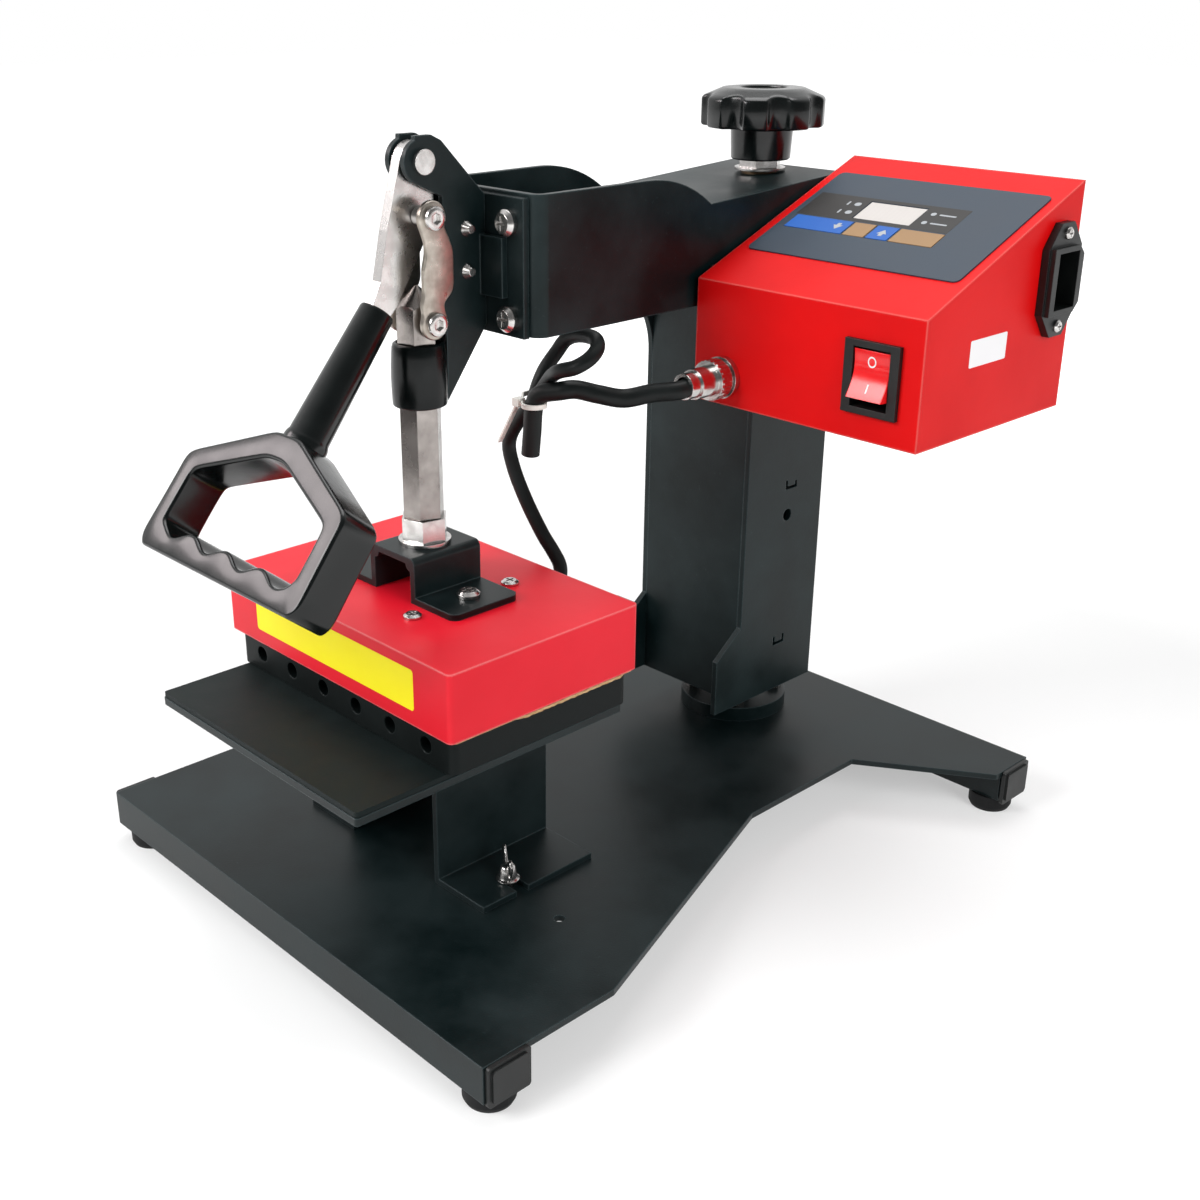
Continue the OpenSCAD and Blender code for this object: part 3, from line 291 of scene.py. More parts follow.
def spread(tree, value, low, high, to_low, to_high):
    """Stretches low..high of a value to to_low..to_high."""
    return add(tree, "ShaderNodeMapRange", values={
        "From Min": low, "From Max": high, "To Min": to_low, "To Max": to_high,
    }, links={"Value": value}).outputs["Result"]


def blend_colour(tree, amount, first, second):
    """Mixes two colours, each a hex text or a socket."""
    mix = add(tree, "ShaderNodeMix", {"data_type": "RGBA"}, links={"Factor": amount})
    for index, given in ((6, first), (7, second)):
        if isinstance(given, str):
            mix.inputs[index].default_value = colour(given)
        else:
            tree.links.new(given, mix.inputs[index])
    return mix.outputs[2]


def soft_edges(tree, radius_mm):
    """The normal with every corner rounded by radius_mm."""
    bevel = add(tree, "ShaderNodeBevel", {"samples": 4}, {"Radius": radius_mm * MM})
    return bevel.outputs["Normal"]


def painted_edge_highlight(tree, width_mm, strength):
    """0 on the flats, rising to strength along every corner: the mask of a painted edge highlight.
    """
    flat = add(tree, "ShaderNodeNewGeometry").outputs["Normal"]
    dot = add(tree, "ShaderNodeVectorMath", {"operation": "DOT_PRODUCT"},
              links={0: flat, 1: soft_edges(tree, width_mm)})
    return spread(tree, dot.outputs["Value"], 0.995, 0.93, 0.0, strength)


def finish_shader(tree, shader, base, rough, heights, rounded):
    """Links colour, roughness and stacked bumps of (height socket, depth in mm)."""
    tree.links.new(base, shader.inputs["Base Color"])
    tree.links.new(rough, shader.inputs["Roughness"])
    normal = rounded
    for height, depth in heights:
        bump = add(tree, "ShaderNodeBump", values={"Strength": 1.0, "Distance": depth * MM},
                   links={"Height": height, "Normal": normal})
        normal = bump.outputs["Normal"]
    tree.links.new(normal, shader.inputs["Normal"])


def powder_coat(name, body, worn_and_edge_highlight, rough=0.36, level=0.3, grain_depth=0.04):
    """Baked polyester powder coat on folded sheet: fine pebbled satin, with a painted
    highlight that lightens every corner and faint cloudiness from handling."""
    material, tree, at, shader = start(name)
    shader.inputs["Specular IOR Level"].default_value = level
    cloud = noise(tree, at, 45, 4)
    pebble = noise(tree, at, 0.9, 2)  # the real grain, 0.3 mm, is too fine to show
    dust = spread(tree, noise(tree, at, 2.2, 5, 0.7), 0.62, 0.74, 0.0, 0.25)
    tone = blend_colour(tree, spread(tree, cloud, 0.35, 0.65, 0.0, 0.25), body, worn_and_edge_highlight)
    tone = blend_colour(tree, dust, tone, worn_and_edge_highlight)
    # every corner lightened towards the pale colour: a painted edge highlight
    tone = blend_colour(tree, painted_edge_highlight(tree, 0.9, 0.9), tone, worn_and_edge_highlight)
    sheen = spread(tree, cloud, 0.3, 0.7, rough - 0.06, rough + 0.06)
    finish_shader(tree, shader, tone, sheen, [(pebble, grain_depth)], soft_edges(tree, 0.8))
    return material


def stove_enamel(name, body, shade, worn_and_edge_highlight, level=0.3, edge_highlight_strength=0.6):
    """Sprayed red enamel over sheet: smooth satin-gloss with faint orange peel
    and a thin lighter line painted along the folds as a highlight."""
    material, tree, at, shader = start(name)
    shader.inputs["Specular IOR Level"].default_value = level
    cloud = noise(tree, at, 60, 3)
    peel = noise(tree, at, 2.4, 2)
    speck = spread(tree, noise(tree, at, 1.1, 4, 0.7), 0.70, 0.80, 0.0, 0.2)
    tone = blend_colour(tree, spread(tree, cloud, 0.3, 0.7, 0.0, 1.0), body, shade)
    tone = blend_colour(tree, speck, tone, worn_and_edge_highlight)
    # a thin painted highlight along every fold, in the pale colour
    tone = blend_colour(tree, painted_edge_highlight(tree, 1.3, edge_highlight_strength), tone, worn_and_edge_highlight)
    sheen = spread(tree, cloud, 0.3, 0.7, 0.4, 0.48)
    finish_shader(tree, shader, tone, sheen, [(peel, 0.03)], soft_edges(tree, 1.0))
    return material


def plated_steel(name, bright, dull, rough, spangle_mm=3.0, streak=None):
    """Metal that keeps a plated or machined skin: small changes of tone and
    gloss, and fine turning or drawing lines where streak gives their direction."""
    material, tree, at, shader = start(name)
    shader.inputs["Metallic"].default_value = 1.0
    spangle = noise(tree, at, spangle_mm, 3, 0.5)
    tone = blend_colour(tree, spread(tree, spangle, 0.3, 0.7, 0.0, 0.6), bright, dull)
    sheen = spread(tree, spangle, 0.3, 0.7, rough - 0.03, rough + 0.05)
    heights = [(spangle, 0.004)]
    if streak:
        drawn = add(tree, "ShaderNodeMapping", values={"Scale": streak}, links={"Vector": at})
        lines = noise(tree, drawn.outputs["Vector"], 0.5, 3)
        heights.append((lines, 0.01))
    finish_shader(tree, shader, tone, sheen, heights, soft_edges(tree, 0.4))
    return material


def moulded(name, body, light, rough, grain_mm=0.6, grain_depth=0.02, level=0.5, corner=0.5,
            coat=0.0):
    """Injection-moulded plastic or rubber: even colour with faint flow marks
    and the tool's fine texture."""
    material, tree, at, shader = start(name)
    shader.inputs["Specular IOR Level"].default_value = level
    shader.inputs["Coat Weight"].default_value = coat
    shader.inputs["Coat Roughness"].default_value = 0.08
    rounded = soft_edges(tree, corner)
    flow = noise(tree, at, 14, 3)
    grain = noise(tree, at, grain_mm, 2)
    tone = blend_colour(tree, spread(tree, flow, 0.35, 0.7, 0.0, 0.5), body, light)
    sheen = spread(tree, flow, 0.3, 0.7, rough - 0.04, rough + 0.05)
    finish_shader(tree, shader, tone, sheen, [(grain, grain_depth)], rounded)
    return material


def fibre_board(name):
    """Pressed insulating fibre board: pale buff with dark and light flecks
    along its pressed layers."""
    material, tree, at, shader = start(name)
    layers = add(tree, "ShaderNodeMapping", values={"Scale": (1, 1, 6)}, links={"Vector": at})
    fleck = noise(tree, layers.outputs["Vector"], 3, 5, 0.7)
    tone = blend_colour(tree, spread(tree, fleck, 0.35, 0.65, 0.0, 1.0), "#d9b98e", "#a97f52")
    finish_shader(tree, shader, tone, spread(tree, fleck, 0.3, 0.7, 0.8, 0.95),
                  [(fleck, 0.1)], soft_edges(tree, 0.3))
    return material


def printed_film(name, ink, light):
    """Polyester keypad film with ink printed behind it: matte velvet face."""
    material, tree, at, shader = start(name)
    shader.inputs["Specular IOR Level"].default_value = 0.3
    velvet = noise(tree, at, 0.7, 2)
    cloud = noise(tree, at, 25, 2)
    tone = blend_colour(tree, spread(tree, cloud, 0.3, 0.7, 0.0, 0.5), ink, light)
    finish_shader(tree, shader, tone, spread(tree, cloud, 0.3, 0.7, 0.42, 0.5),
                  [(velvet, 0.008)], soft_edges(tree, 0.25))
    return material


def display_glass(name):
    """Backlit display behind a clear window: pale grey-green, a little glossy,
    with the faint cell grid of the segments switched off."""
    material, tree, at, shader = start(name)
    turned = add(tree, "ShaderNodeMapping", values={"Rotation": (-BOX_TILT, 0, 0)},
                 links={"Vector": at})
    grid = add(tree, "ShaderNodeTexWave", {"wave_type": "BANDS", "bands_direction": "X"},
               {"Scale": 1 / (2.4 * MM) / 3.14, "Distortion": 0.0},
               {"Vector": turned.outputs["Vector"]})
    tone = blend_colour(tree, spread(tree, grid.outputs["Fac"], 0.9, 1.0, 0.0, 0.12),
                        "#c2bcb8", "#a8a5a4")
    shader.inputs["Coat Weight"].default_value = 0.5
    shader.inputs["Coat Roughness"].default_value = 0.05
    finish_shader(tree, shader, tone, spread(tree, grid.outputs["Fac"], 0, 1, 0.3, 0.35),
                  [(grid.outputs["Fac"], 0.004)], soft_edges(tree, 0.2))
    return material


# powder coat: near-black satin with a cool cast, lightened along every corner as a painted
# highlight, on the arm a shade lighter
BLACK_COAT = powder_coat("black_powder_coat", "#040f10", "#364244", 0.38, 0.24)
ARM_COAT = powder_coat("arm_powder_coat", "#041112", "#384648", 0.38, 0.22)
# enamel: a clear signal red on the box, a cooler and glossier red on the cover, both lightened
# along the folds as a painted highlight
BOX_ENAMEL = stove_enamel("red_stove_enamel", "#d80a0c", "#c80609", "#f08c84", 0.14, 0.5)
COVER_ENAMEL = stove_enamel("red_stove_enamel_on_hot_cover", "#e6142a", "#da1024", "#f6a6a4",
                            0.34, 0.6)
# zinc and steel: bright and a little warm, from mirror-like screws to the dull links
BRIGHT_ZINC = plated_steel("bright_zinc_plate", "#d8d6d4", "#a9a5a2", 0.22, 5)
GROUND_STEEL = plated_steel("ground_steel", "#dddbd9", "#b4b0ad", 0.26, 8, (9, 9, 0.6))
RAM_STEEL = plated_steel("drawn_hexagon_steel", "#9c9692", "#6a6461", 0.24, 8, (9, 9, 0.6))
PRESSED_ZINC = plated_steel("zinc_plate_on_pressed_links", "#bdb5ab", "#928a80", 0.3, 4)
POST_STEEL = plated_steel("oiled_post_steel", "#a8aaac", "#86888a", 0.28, 6, (0.6, 0.6, 9))
# oiled bearing bronze: dull brown, seen only between the flange and the column
BRONZE = plated_steel("oiled_bearing_bronze", "#6e5c48", "#4e4234", 0.4, 5)
# black mouldings: from the polished grip, which mirrors the studio, to matt rubber
GLOSS_PLASTIC = moulded("polished_black_moulding", "#060a0a", "#0c1111", 0.2,
                        2.0, 0.003, 0.36, 0.45, 0.08)
SATIN_PLASTIC = moulded("black_nylon_moulding", "#0c0f0f", "#171a1a", 0.42, 0.8, 0.02, 0.4)
SLEEVE_PLASTIC = moulded("guide_sleeve_moulding", "#030808", "#080e0e", 0.24, 1.5, 0.004, 0.26, 0.6)
FOOT_RUBBER = moulded("foot_rubber", "#101112", "#1b1c1d", 0.7, 0.9, 0.04, 0.3)
PAD_SILICONE = moulded("silicone_sheet", "#0a1414", "#131e1e", 0.6, 1.2, 0.03, 0.2)
CABLE_JACKET = moulded("soft_cable_jacket", "#070c0c", "#121818", 0.5, 0.9, 0.02, 0.28)
# non-stick coat on the heated plate: flat black that throws little light back, its corners
# lightened by the painted edge highlight
HEATER_COAT = powder_coat("heater_non_stick_coat", "#050a0a", "#1c2424", 0.5, 0.16)
INSULATION = fibre_board("pressed_fibre_board")
# printed film: velvet matt, so the inks stay flat and even
FILM_GREY = printed_film("keypad_film_grey", "#2b3643", "#35414e")
FILM_BLACK = printed_film("keypad_film_black", "#201e1d", "#2b2928")
FILM_BLUE = printed_film("keypad_film_blue", "#1a55a6", "#2461b2")
FILM_TAN = printed_film("keypad_film_tan", "#93734f", "#a07e59")
FILM_WHITE = printed_film("keypad_film_white", "#9fa3a8", "#b0b3b7")
STICKER_YELLOW = printed_film("sticker_yellow", "#fff01c", "#fbe70f")
STICKER_WHITE = printed_film("sticker_white", "#eeecee", "#f7f6f7")
# clear and coloured plastics that catch small highlights
DISPLAY = display_glass("display_window")
ROCKER_RED = moulded("translucent_red_moulding", "#e01016", "#ea2024", 0.18,
                     2.0, 0.004, 0.45, 0.5, 0.35)
NYLON_WHITE = moulded("white_nylon_strap", "#e8e5de", "#f2f0ea", 0.4, 0.8, 0.01)
BOARD_GREEN = moulded("lacquered_circuit_board", "#1c5a36", "#246b42", 0.4, 1.0, 0.02)

NODE_FINISH = {
    "base_plate": BLACK_COAT, "front_bar": BLACK_COAT, "rear_bar": BLACK_COAT,
    "end_caps": SATIN_PLASTIC, "rubber_feet": FOOT_RUBBER, "base_screws": BRIGHT_ZINC,
    "pivot_flange": BLACK_COAT, "swing_post": POST_STEEL, "platen_stand": BLACK_COAT,
    "lower_platen": BLACK_COAT, "silicone_pad": PAD_SILICONE, "platen_bolts": BRIGHT_ZINC,
    "wing_bolt_right": BRIGHT_ZINC, "wing_bolt_left": BRIGHT_ZINC, "swing_sleeve": BRONZE,
    "arm_frame": ARM_COAT, "column_front": ARM_COAT, "column_rear": ARM_COAT,
    "arm_top_plate": ARM_COAT, "pivot_tube": BLACK_COAT, "clamp_plate": BLACK_COAT,
    "plate_screws": BRIGHT_ZINC, "clamp_bracket": BLACK_COAT, "guide_sleeve": SLEEVE_PLASTIC,
    "top_pin": BRIGHT_ZINC, "box_bracket": BLACK_COAT, "box_shell": BOX_ENAMEL,
    "box_back": BLACK_COAT, "box_screws": BRIGHT_ZINC, "display_overlay": FILM_GREY,
    "display_lcd": DISPLAY, "control_board": BOARD_GREEN, "relay_module": GROUND_STEEL,
    "power_inlet": SATIN_PLASTIC, "switch_bezel": SATIN_PLASTIC, "switch_rocker": ROCKER_RED,
    "key_set": FILM_BLUE, "key_down": FILM_TAN, "key_up": FILM_BLUE, "key_mode": FILM_TAN,
    "cable_socket": BRIGHT_ZINC, "cable_plug": BRIGHT_ZINC, "plug_cable": CABLE_JACKET,
    "heater_cable": CABLE_JACKET, "cable_tie": NYLON_WHITE, "star_knob": GLOSS_PLASTIC,
    "pressure_screw": POST_STEEL, "jam_nut": BRIGHT_ZINC, "hex_ram": RAM_STEEL,
    "ram_nut": BRIGHT_ZINC, "hat_bracket": BLACK_COAT, "cover_screws": BRIGHT_ZINC,
    "heater_cover": COVER_ENAMEL, "heater_studs": GROUND_STEEL, "insulation_board": INSULATION,
    "heater_block": HEATER_COAT, "cable_gland": SATIN_PLASTIC, "lever_arm": GROUND_STEEL,
    "lever_handle": GLOSS_PLASTIC, "toggle_links": PRESSED_ZINC,
}


def finish_nodes():
    """Gives every node of the frame its finish."""
    for name, node in NODES.items():
        node.data.materials.clear()
        node.data.materials.append(NODE_FINISH[name])


# ----------------------------------------------------------------- the pieces

def build_cables():
    """The thick sleeve from the round plug and the thin, looped cable to the heater."""
    thick = smooth_route(PLUG_ROUTE, 8)
    thin = smooth_route(HEATER_ROUTE, 6)
    sleeve = tube("plug_cable_jacket", thick, PLUG_CABLE_R * MM, CABLE_JACKET, 24)
    wire = tube("heater_cable_jacket", thin, HEATER_CABLE_R * MM, CABLE_JACKET, 20)
    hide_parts("plug_cable")
    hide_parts("heater_cable")
    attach(sleeve, "arm")
    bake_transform(wire)


def build_handle():
    """The D-shaped grip: a rounded bar round a window, and its tapered neck.

    outer and inner are the corners of the bar's outline and of its window, and
    steps says how finely each side is cut. The window's far side carries four
    finger waves.
    """
    wave_pitch, wave_deep, wave_middle = 24.8, 2.3, -173.8
    outer = [(-8, -119.5), (8, -119.5), (53, -139), (56, -142), (57, -180),
             (54, -184.5), (-54, -184.5), (-57, -180), (-56, -142), (-53, -139)]
    inner = [(-6, -131), (6, -131), (46, -147), (47, -150), (47.5, -170),
             (45.5, -172), (-45.5, -172), (-47.5, -170), (-47, -150), (-46, -147)]
    steps = [6, 18, 3, 14, 4, 108, 4, 14, 3, 18]

    def walk(corners):
        line = []
        for i, (a, b) in enumerate(zip(corners, corners[1:] + corners[:1])):
            for k in range(steps[i]):
                t = k / steps[i]
                line.append([a[0] + (b[0] - a[0]) * t, a[1] + (b[1] - a[1]) * t])
        return line

    out, inn = walk(outer), walk(inner)
    for p in inn:
        if p[1] < -171.9:
            p[1] = wave_middle + wave_deep * math.cos(2 * math.pi * (p[0] - 1) / wave_pitch)
    out, inn = softened(out, 2), softened(inn, 3)
    rings = []
    for (ox, oz), (ix, iz) in zip(out, inn):
        half = math.hypot(ox - ix, oz - iz) / 2
        r = min(1.7, half * 0.5)
        ux, uz = (ox - ix) / (2 * half), (oz - iz) / (2 * half)
        ring = []
        for x, y in round_outline(2 * half, GRIP_DEEP, r, steps=5):
            ring.append(on_lever((ox + ix) / 2 + ux * x, GRIP_Y + y, (oz + iz) / 2 + uz * x))
        rings.append(ring)
    grip = outward(new_piece("handle_grip", *loft(rings, around=True), GLOSS_PLASTIC))
    neck = lathe("handle_neck", [
        (0.01, -57.2), (6.3, -57.2), (7.1, -57.6), (7.5, -58.6), (8.8, -116), (9.3, -117),
        (9.6, -118.5), (9.6, -123), (9.3, -125.5), (8.2, -126.5), (0.01, -126.5),
    ], lambda x, y, z: on_lever(x, GRIP_Y + y, z), GLOSS_PLASTIC, 64)
    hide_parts("lever_handle")
    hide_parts("lever_handle")
    for piece in (grip, neck):
        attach(piece, "lever")


def build_knob():
    """The star knob: eight lobes cut by round notches, a coned top and a hub."""
    sides = 320
    hub, rim, full = 323.0, 338.0, 29.8  # foot of the hub, foot of the rim, full radius
    notch_at, notch_r, first_notch = 33.8, 7.6, 10

    def lobe(a):
        off = (math.degrees(a) - first_notch + 22.5) % 45 - 22.5
        side = notch_at * math.sin(math.radians(off))
        if abs(side) >= notch_r:
            return full
        reach = notch_at * math.cos(math.radians(off))
        return min(full, reach - math.sqrt(notch_r ** 2 - side ** 2))

    rough = [lobe(2 * math.pi * k / sides) for k in range(sides)]
    edge = [(rough[k - 1] + rough[k] + rough[(k + 1) % sides]) / 3 for k in range(sides)]

    def cone(r):
        return rim + 14.2 + (full - r) * 0.42

    def ring(radius, height):
        return [spot(radius(edge[k]) * math.cos(2 * math.pi * k / sides),
                     radius(edge[k]) * math.sin(2 * math.pi * k / sides), height(edge[k]))
                for k in range(sides)]

    rings = [ring(lambda e, r=r: r, lambda e, z=z: z) for r, z in [
        (6.1, hub + 8), (6.1, hub + 0.1), (13.9, hub + 0.1), (14.5, hub + 0.7),
        (15.2, rim - 0.8), (16.0, rim + 0.2), (17.5, rim + 0.5)]]
    for inset, z in ((1.4, 0.5), (0.5, 0.9), (0, 1.8)):
        rings.append(ring(lambda e, i=inset: e - i, lambda e, z=z: rim + z))
    for inset, drop in ((0, 1.2), (0.3, 0.45), (1.0, 0)):
        rings.append(ring(lambda e, i=inset: e - i, lambda e, i=inset, d=drop: cone(e - i) - d))
    for t in (0.3, 0.65, 1.0):
        rings.append(ring(lambda e, t=t: (e - 1) * (1 - t) + 20 * t,
                          lambda e, t=t: cone((e - 1) * (1 - t) + 20 * t)))
    rings += [ring(lambda e, r=r: r, lambda e, z=z: rim + z) for r, z in [
        (17, 18.5), (13, 18.58), (11.7, 18.5), (11.2, 18.2), (11.0, 17.5), (10.5, 17.0),
        (0.01, 16.9)]]
    knob = outward(new_piece("star_knob_moulding", *loft(rings), GLOSS_PLASTIC))
    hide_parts("star_knob")
    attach(knob, "knob")


def socket_head(name, x, y, z, side, material, body):
    """A round screw head that faces sideways, with a hexagon socket sunk in it."""
    sides = 48

    def hexagon(k, size):
        a = (math.degrees(2 * math.pi * k / sides) + 30) % 60 - 30
        return size / math.cos(math.radians(a))

    def put(r, k, h):
        a = 2 * math.pi * k / sides
        return spot(x + side * h, y + r * math.cos(a), z + r * math.sin(a))

    rounds = [(0.01, -0.1), (4.2, -0.1), (4.75, 0.0), (4.9, 0.25), (4.9, 1.7), (4.7, 2.25),
              (4.1, 2.55), (3.0, 2.6)]
    rings = [[put(r, k, h) for k in range(sides)] for r, h in rounds]
    rings += [[put(hexagon(k, size), k, h) for k in range(sides)]
              for size, h in ((2.15, 2.55), (2.0, 2.4), (2.0, 1.0))]
    rings.append([put(0.01, k, 0.9) for k in range(sides)])
    head = outward(new_piece(name, *loft(rings), material))
    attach(head, body)
    return head


def build_links():
    """The two pressed toggle links with their knee and ram pins and screw heads."""
    drop = RAM_PIN_Z - KNEE_Z
    middle_x, outer_x, pin_r = 10.9, 12.2, 4

    def arc(radius, height, first, last, n):
        return [(radius * math.cos(math.radians(first + (last - first) * k / n)),
                 height + radius * math.sin(math.radians(first + (last - first) * k / n)))
                for k in range(n + 1)]

    corners = arc(7, 0, -35, 215, 24) + [
        (-3.6, -10), (-3.6, -14), (-5.2, -20), (-5.2, drop + 13), (-6.4, drop + 8)]
    corners += arc(6.8, drop, 145, 395, 24) + [
        (5, drop + 8), (9.4, drop + 12), (10.4, drop + 15), (10.4, -14), (9, -10), (6, -4)]
    walk = []
    for a, b in zip(corners, corners[1:] + corners[:1]):
        n = max(1, round(math.dist(a, b) / 0.9))
        walk += [[a[0] + (b[0] - a[0]) * k / n, a[1] + (b[1] - a[1]) * k / n] for k in range(n)]
    walk = softened(walk, 3)
    normal = []
    for i in range(len(walk)):
        a, b = walk[i - 1], walk[(i + 1) % len(walk)]
        dy, dz = b[0] - a[0], b[1] - a[1]
        size = math.hypot(dy, dz)
        normal.append((-dz / size, dy / size))
    pieces = []
    for s in (-1, 1):
        rings = []
        for inset, x in ((0.9, -1.3), (0.35, -1.18), (0.0, -0.8), (0.0, 0.8), (0.35, 1.18),
                         (0.9, 1.3)):
            rings.append([spot(s * middle_x + x, RAM_Y + p[0] + q[0] * inset,
                               KNEE_Z + p[1] + q[1] * inset) for p, q in zip(walk, normal)])
        side = "right" if s > 0 else "left"
        pieces.append(outward(new_piece("link_" + side, *loft(rings), PRESSED_ZINC)))
        for label, z, near in (("knee", KNEE_Z, 3.1), ("ram", RAM_PIN_Z, 0.2)):
            profile = [(0.01, near), (pin_r, near), (pin_r, outer_x), (0.01, outer_x)]
            pieces.append(lathe(
                f"{label}_pin_{side}", profile,
                lambda x, y, h, s=s, z=z: spot(s * h, RAM_Y + x, z + y), BRIGHT_ZINC, 40))
            pieces.append(socket_head(f"{label}_head_{side}", s * outer_x, RAM_Y, z, s,
                                      BRIGHT_ZINC, "links"))
    for piece in pieces:
        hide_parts("toggle_links")
        if "head" not in piece.name:
            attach(piece, "links")


def build_board_edge():
    """The frayed edge of the insulating board that shows below the cover's right side."""
    line = []
    for k in range(81):
        y = -235 + 66 * k / 80
        ends = min(1.0, k / 6, (80 - k) / 6)
        line.append((78 + ends * (2.15 + 0.3 * math.sin(1.3 * y) * math.sin(0.37 * y + 1)), y))
    outline = line + [(77.5, -169), (77.5, -235)]
    edge = plate("board_edge", outline, 1.2, lambda x, y, h: spot(x, y, 125.12 + h), INSULATION)
    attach(edge, "press")


def build_sleeve():
    """The ram's guide sleeve, slightly barrelled with rolled ends."""
    profile = [(9.3, 239.5), (10.9, 239.5), (11.5, 239.9), (11.7, 240.8), (11.9, 246),
               (12.0, 252), (11.9, 257), (11.6, 261), (11.3, 264.6), (10.8, 265.9),
               (10.0, 266.35), (9.5, 266.4)]
    sides = 72
    rings = [[spot(r * math.cos(2 * math.pi * k / sides),
                   RAM_Y + r * math.sin(2 * math.pi * k / sides), z)
              for k in range(sides)] for r, z in profile]
    sleeve = outward(new_piece("guide_sleeve_moulding", *loft(rings, around=True), SLEEVE_PLASTIC))
    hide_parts("guide_sleeve")
    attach(sleeve, "arm")


def build_wing_bolts():
    """Cast wing bolts: a turned collar and two flared wings, softly rounded."""
    for side, body in ((1, "wing_right"), (-1, "wing_left")):
        centre = (side * 55, -218.7, 30.1)
        spin = math.radians(150)

        def put(x, y, z, centre=centre):
            return spot(centre[0] + x * math.cos(spin) - y * math.sin(spin),
                        centre[1] + x * math.sin(spin) + y * math.cos(spin), centre[2] + z)

        name = body.replace("wing", "wing_bolt")
        collar = lathe(name + "_collar", [
            (0.01, -5.8), (3, -5.8), (3, 0.02), (5.0, 0.02), (5.4, 0.4), (5.4, 1.0), (5.0, 1.3),
            (4.4, 1.6), (4.1, 4), (3.5, 6.6), (2.9, 7.5), (1.8, 8.0), (0.01, 8.1),
        ], put, BRIGHT_ZINC, 48)
        verts, faces = [], []
        for s in (-1, 1):
            rings = []
            for k, (u, w, wide, thick) in enumerate([
                    (1.2, 3.2, 2.6, 1.5), (3.4, 5.0, 3.2, 1.35), (5.4, 7.8, 3.6, 1.2),
                    (7.0, 10.6, 3.3, 1.1), (7.9, 12.6, 2.3, 1.0), (8.2, 13.6, 0.9, 0.7)]):
                lean = math.radians(35)
                ring = []
                for j in range(16):
                    a = 2 * math.pi * j / 16
                    p, q = wide * math.cos(a), thick * math.sin(a)
                    ring.append(put(s * (u + p * math.cos(lean)), q, w - p * math.sin(lean)))
                rings.append(ring)
            v, f = loft(rings)
            faces += [tuple(i + len(verts) for i in face) for face in f]
            verts += v
        wings = outward(new_piece(name + "_wings", verts, faces, BRIGHT_ZINC))
        smooth = wings.modifiers.new("smooth", "SUBSURF")
        smooth.levels = smooth.render_levels = 1
        for piece in (collar, wings):
            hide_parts(name)
            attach(piece, body)


def repeat_tree(name, kind):
    """A node tree that sets small bars round a circle or along a straight line."""
    tree = bpy.data.node_groups.new(name, "GeometryNodeTree")
    face = tree.interface
    face.new_socket("Count", in_out="INPUT", socket_type="NodeSocketInt")
    for label in ("Radius", "Length", "Width", "Pitch"):
        face.new_socket(label, in_out="INPUT", socket_type="NodeSocketFloat")
    face.new_socket("Material", in_out="INPUT", socket_type="NodeSocketMaterial")
    face.new_socket("Mesh", in_out="OUTPUT", socket_type="NodeSocketGeometry")
    given = add(tree, "NodeGroupInput").outputs
    size = add(tree, "ShaderNodeCombineXYZ", links={
        "X": given["Width"], "Y": given["Width"], "Z": given["Length"]})
    item = add(tree, "GeometryNodeMeshCube", links={"Size": size.outputs["Vector"]})
    if kind == "circle":
        points = add(tree, "GeometryNodeMeshCircle", links={
            "Vertices": given["Count"], "Radius": given["Radius"]})
        where = add(tree, "GeometryNodeInputPosition")
        aim = add(tree, "FunctionNodeAlignRotationToVector", {"axis": "X"},
                  links={"Vector": where.outputs["Position"]})
        spun = {"Rotation": aim.outputs["Rotation"]}
    else:
        step = add(tree, "ShaderNodeCombineXYZ", links={"X": given["Pitch"]})
        points = add(tree, "GeometryNodeMeshLine", links={
            "Count": given["Count"], "Offset": step.outputs["Vector"]})
        spun = {}
    copies = add(tree, "GeometryNodeInstanceOnPoints", links=dict(
        {"Points": points.outputs["Mesh"], "Instance": item.outputs["Mesh"]}, **spun))
    real = add(tree, "GeometryNodeRealizeInstances", links={
        "Geometry": copies.outputs["Instances"]})
    skin = add(tree, "GeometryNodeSetMaterial", links={
        "Geometry": real.outputs["Geometry"], "Material": given["Material"]})
    add(tree, "NodeGroupOutput", links={"Mesh": skin.outputs["Geometry"]})
    return tree


def repeated(name, tree, values, to_row, body):
    """Runs a repeating tree, places the result by the matrix and lets it ride."""
    seed = bpy.data.objects.new(name + "_seed", bpy.data.meshes.new(name + "_seed"))
    bpy.context.scene.collection.objects.link(seed)
    maker = seed.modifiers.new("repeat", "NODES")
    maker.node_group = tree
    ids = {s.name: s.identifier for s in tree.interface.items_tree if s.in_out == "INPUT"}
    for key, value in values.items():
        maker[ids[key]] = value
    view = bpy.context.evaluated_depsgraph_get()
    mesh = bpy.data.meshes.new_from_object(seed.evaluated_get(view), depsgraph=view)
    bpy.data.objects.remove(seed)
    mesh.transform(to_row)
    piece = bpy.data.objects.new(name, mesh)
    mesh.name = name
    for poly in mesh.polygons:
        poly.use_smooth = False
    bpy.context.scene.collection.objects.link(piece)
    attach(piece, body)
    return piece


def along_y(x, y, z):
    """Local z axis laid along +Y at a press point."""
    return Matrix.Translation(spot(x, y, z)) @ Matrix.Rotation(math.radians(-90), 4, "X")


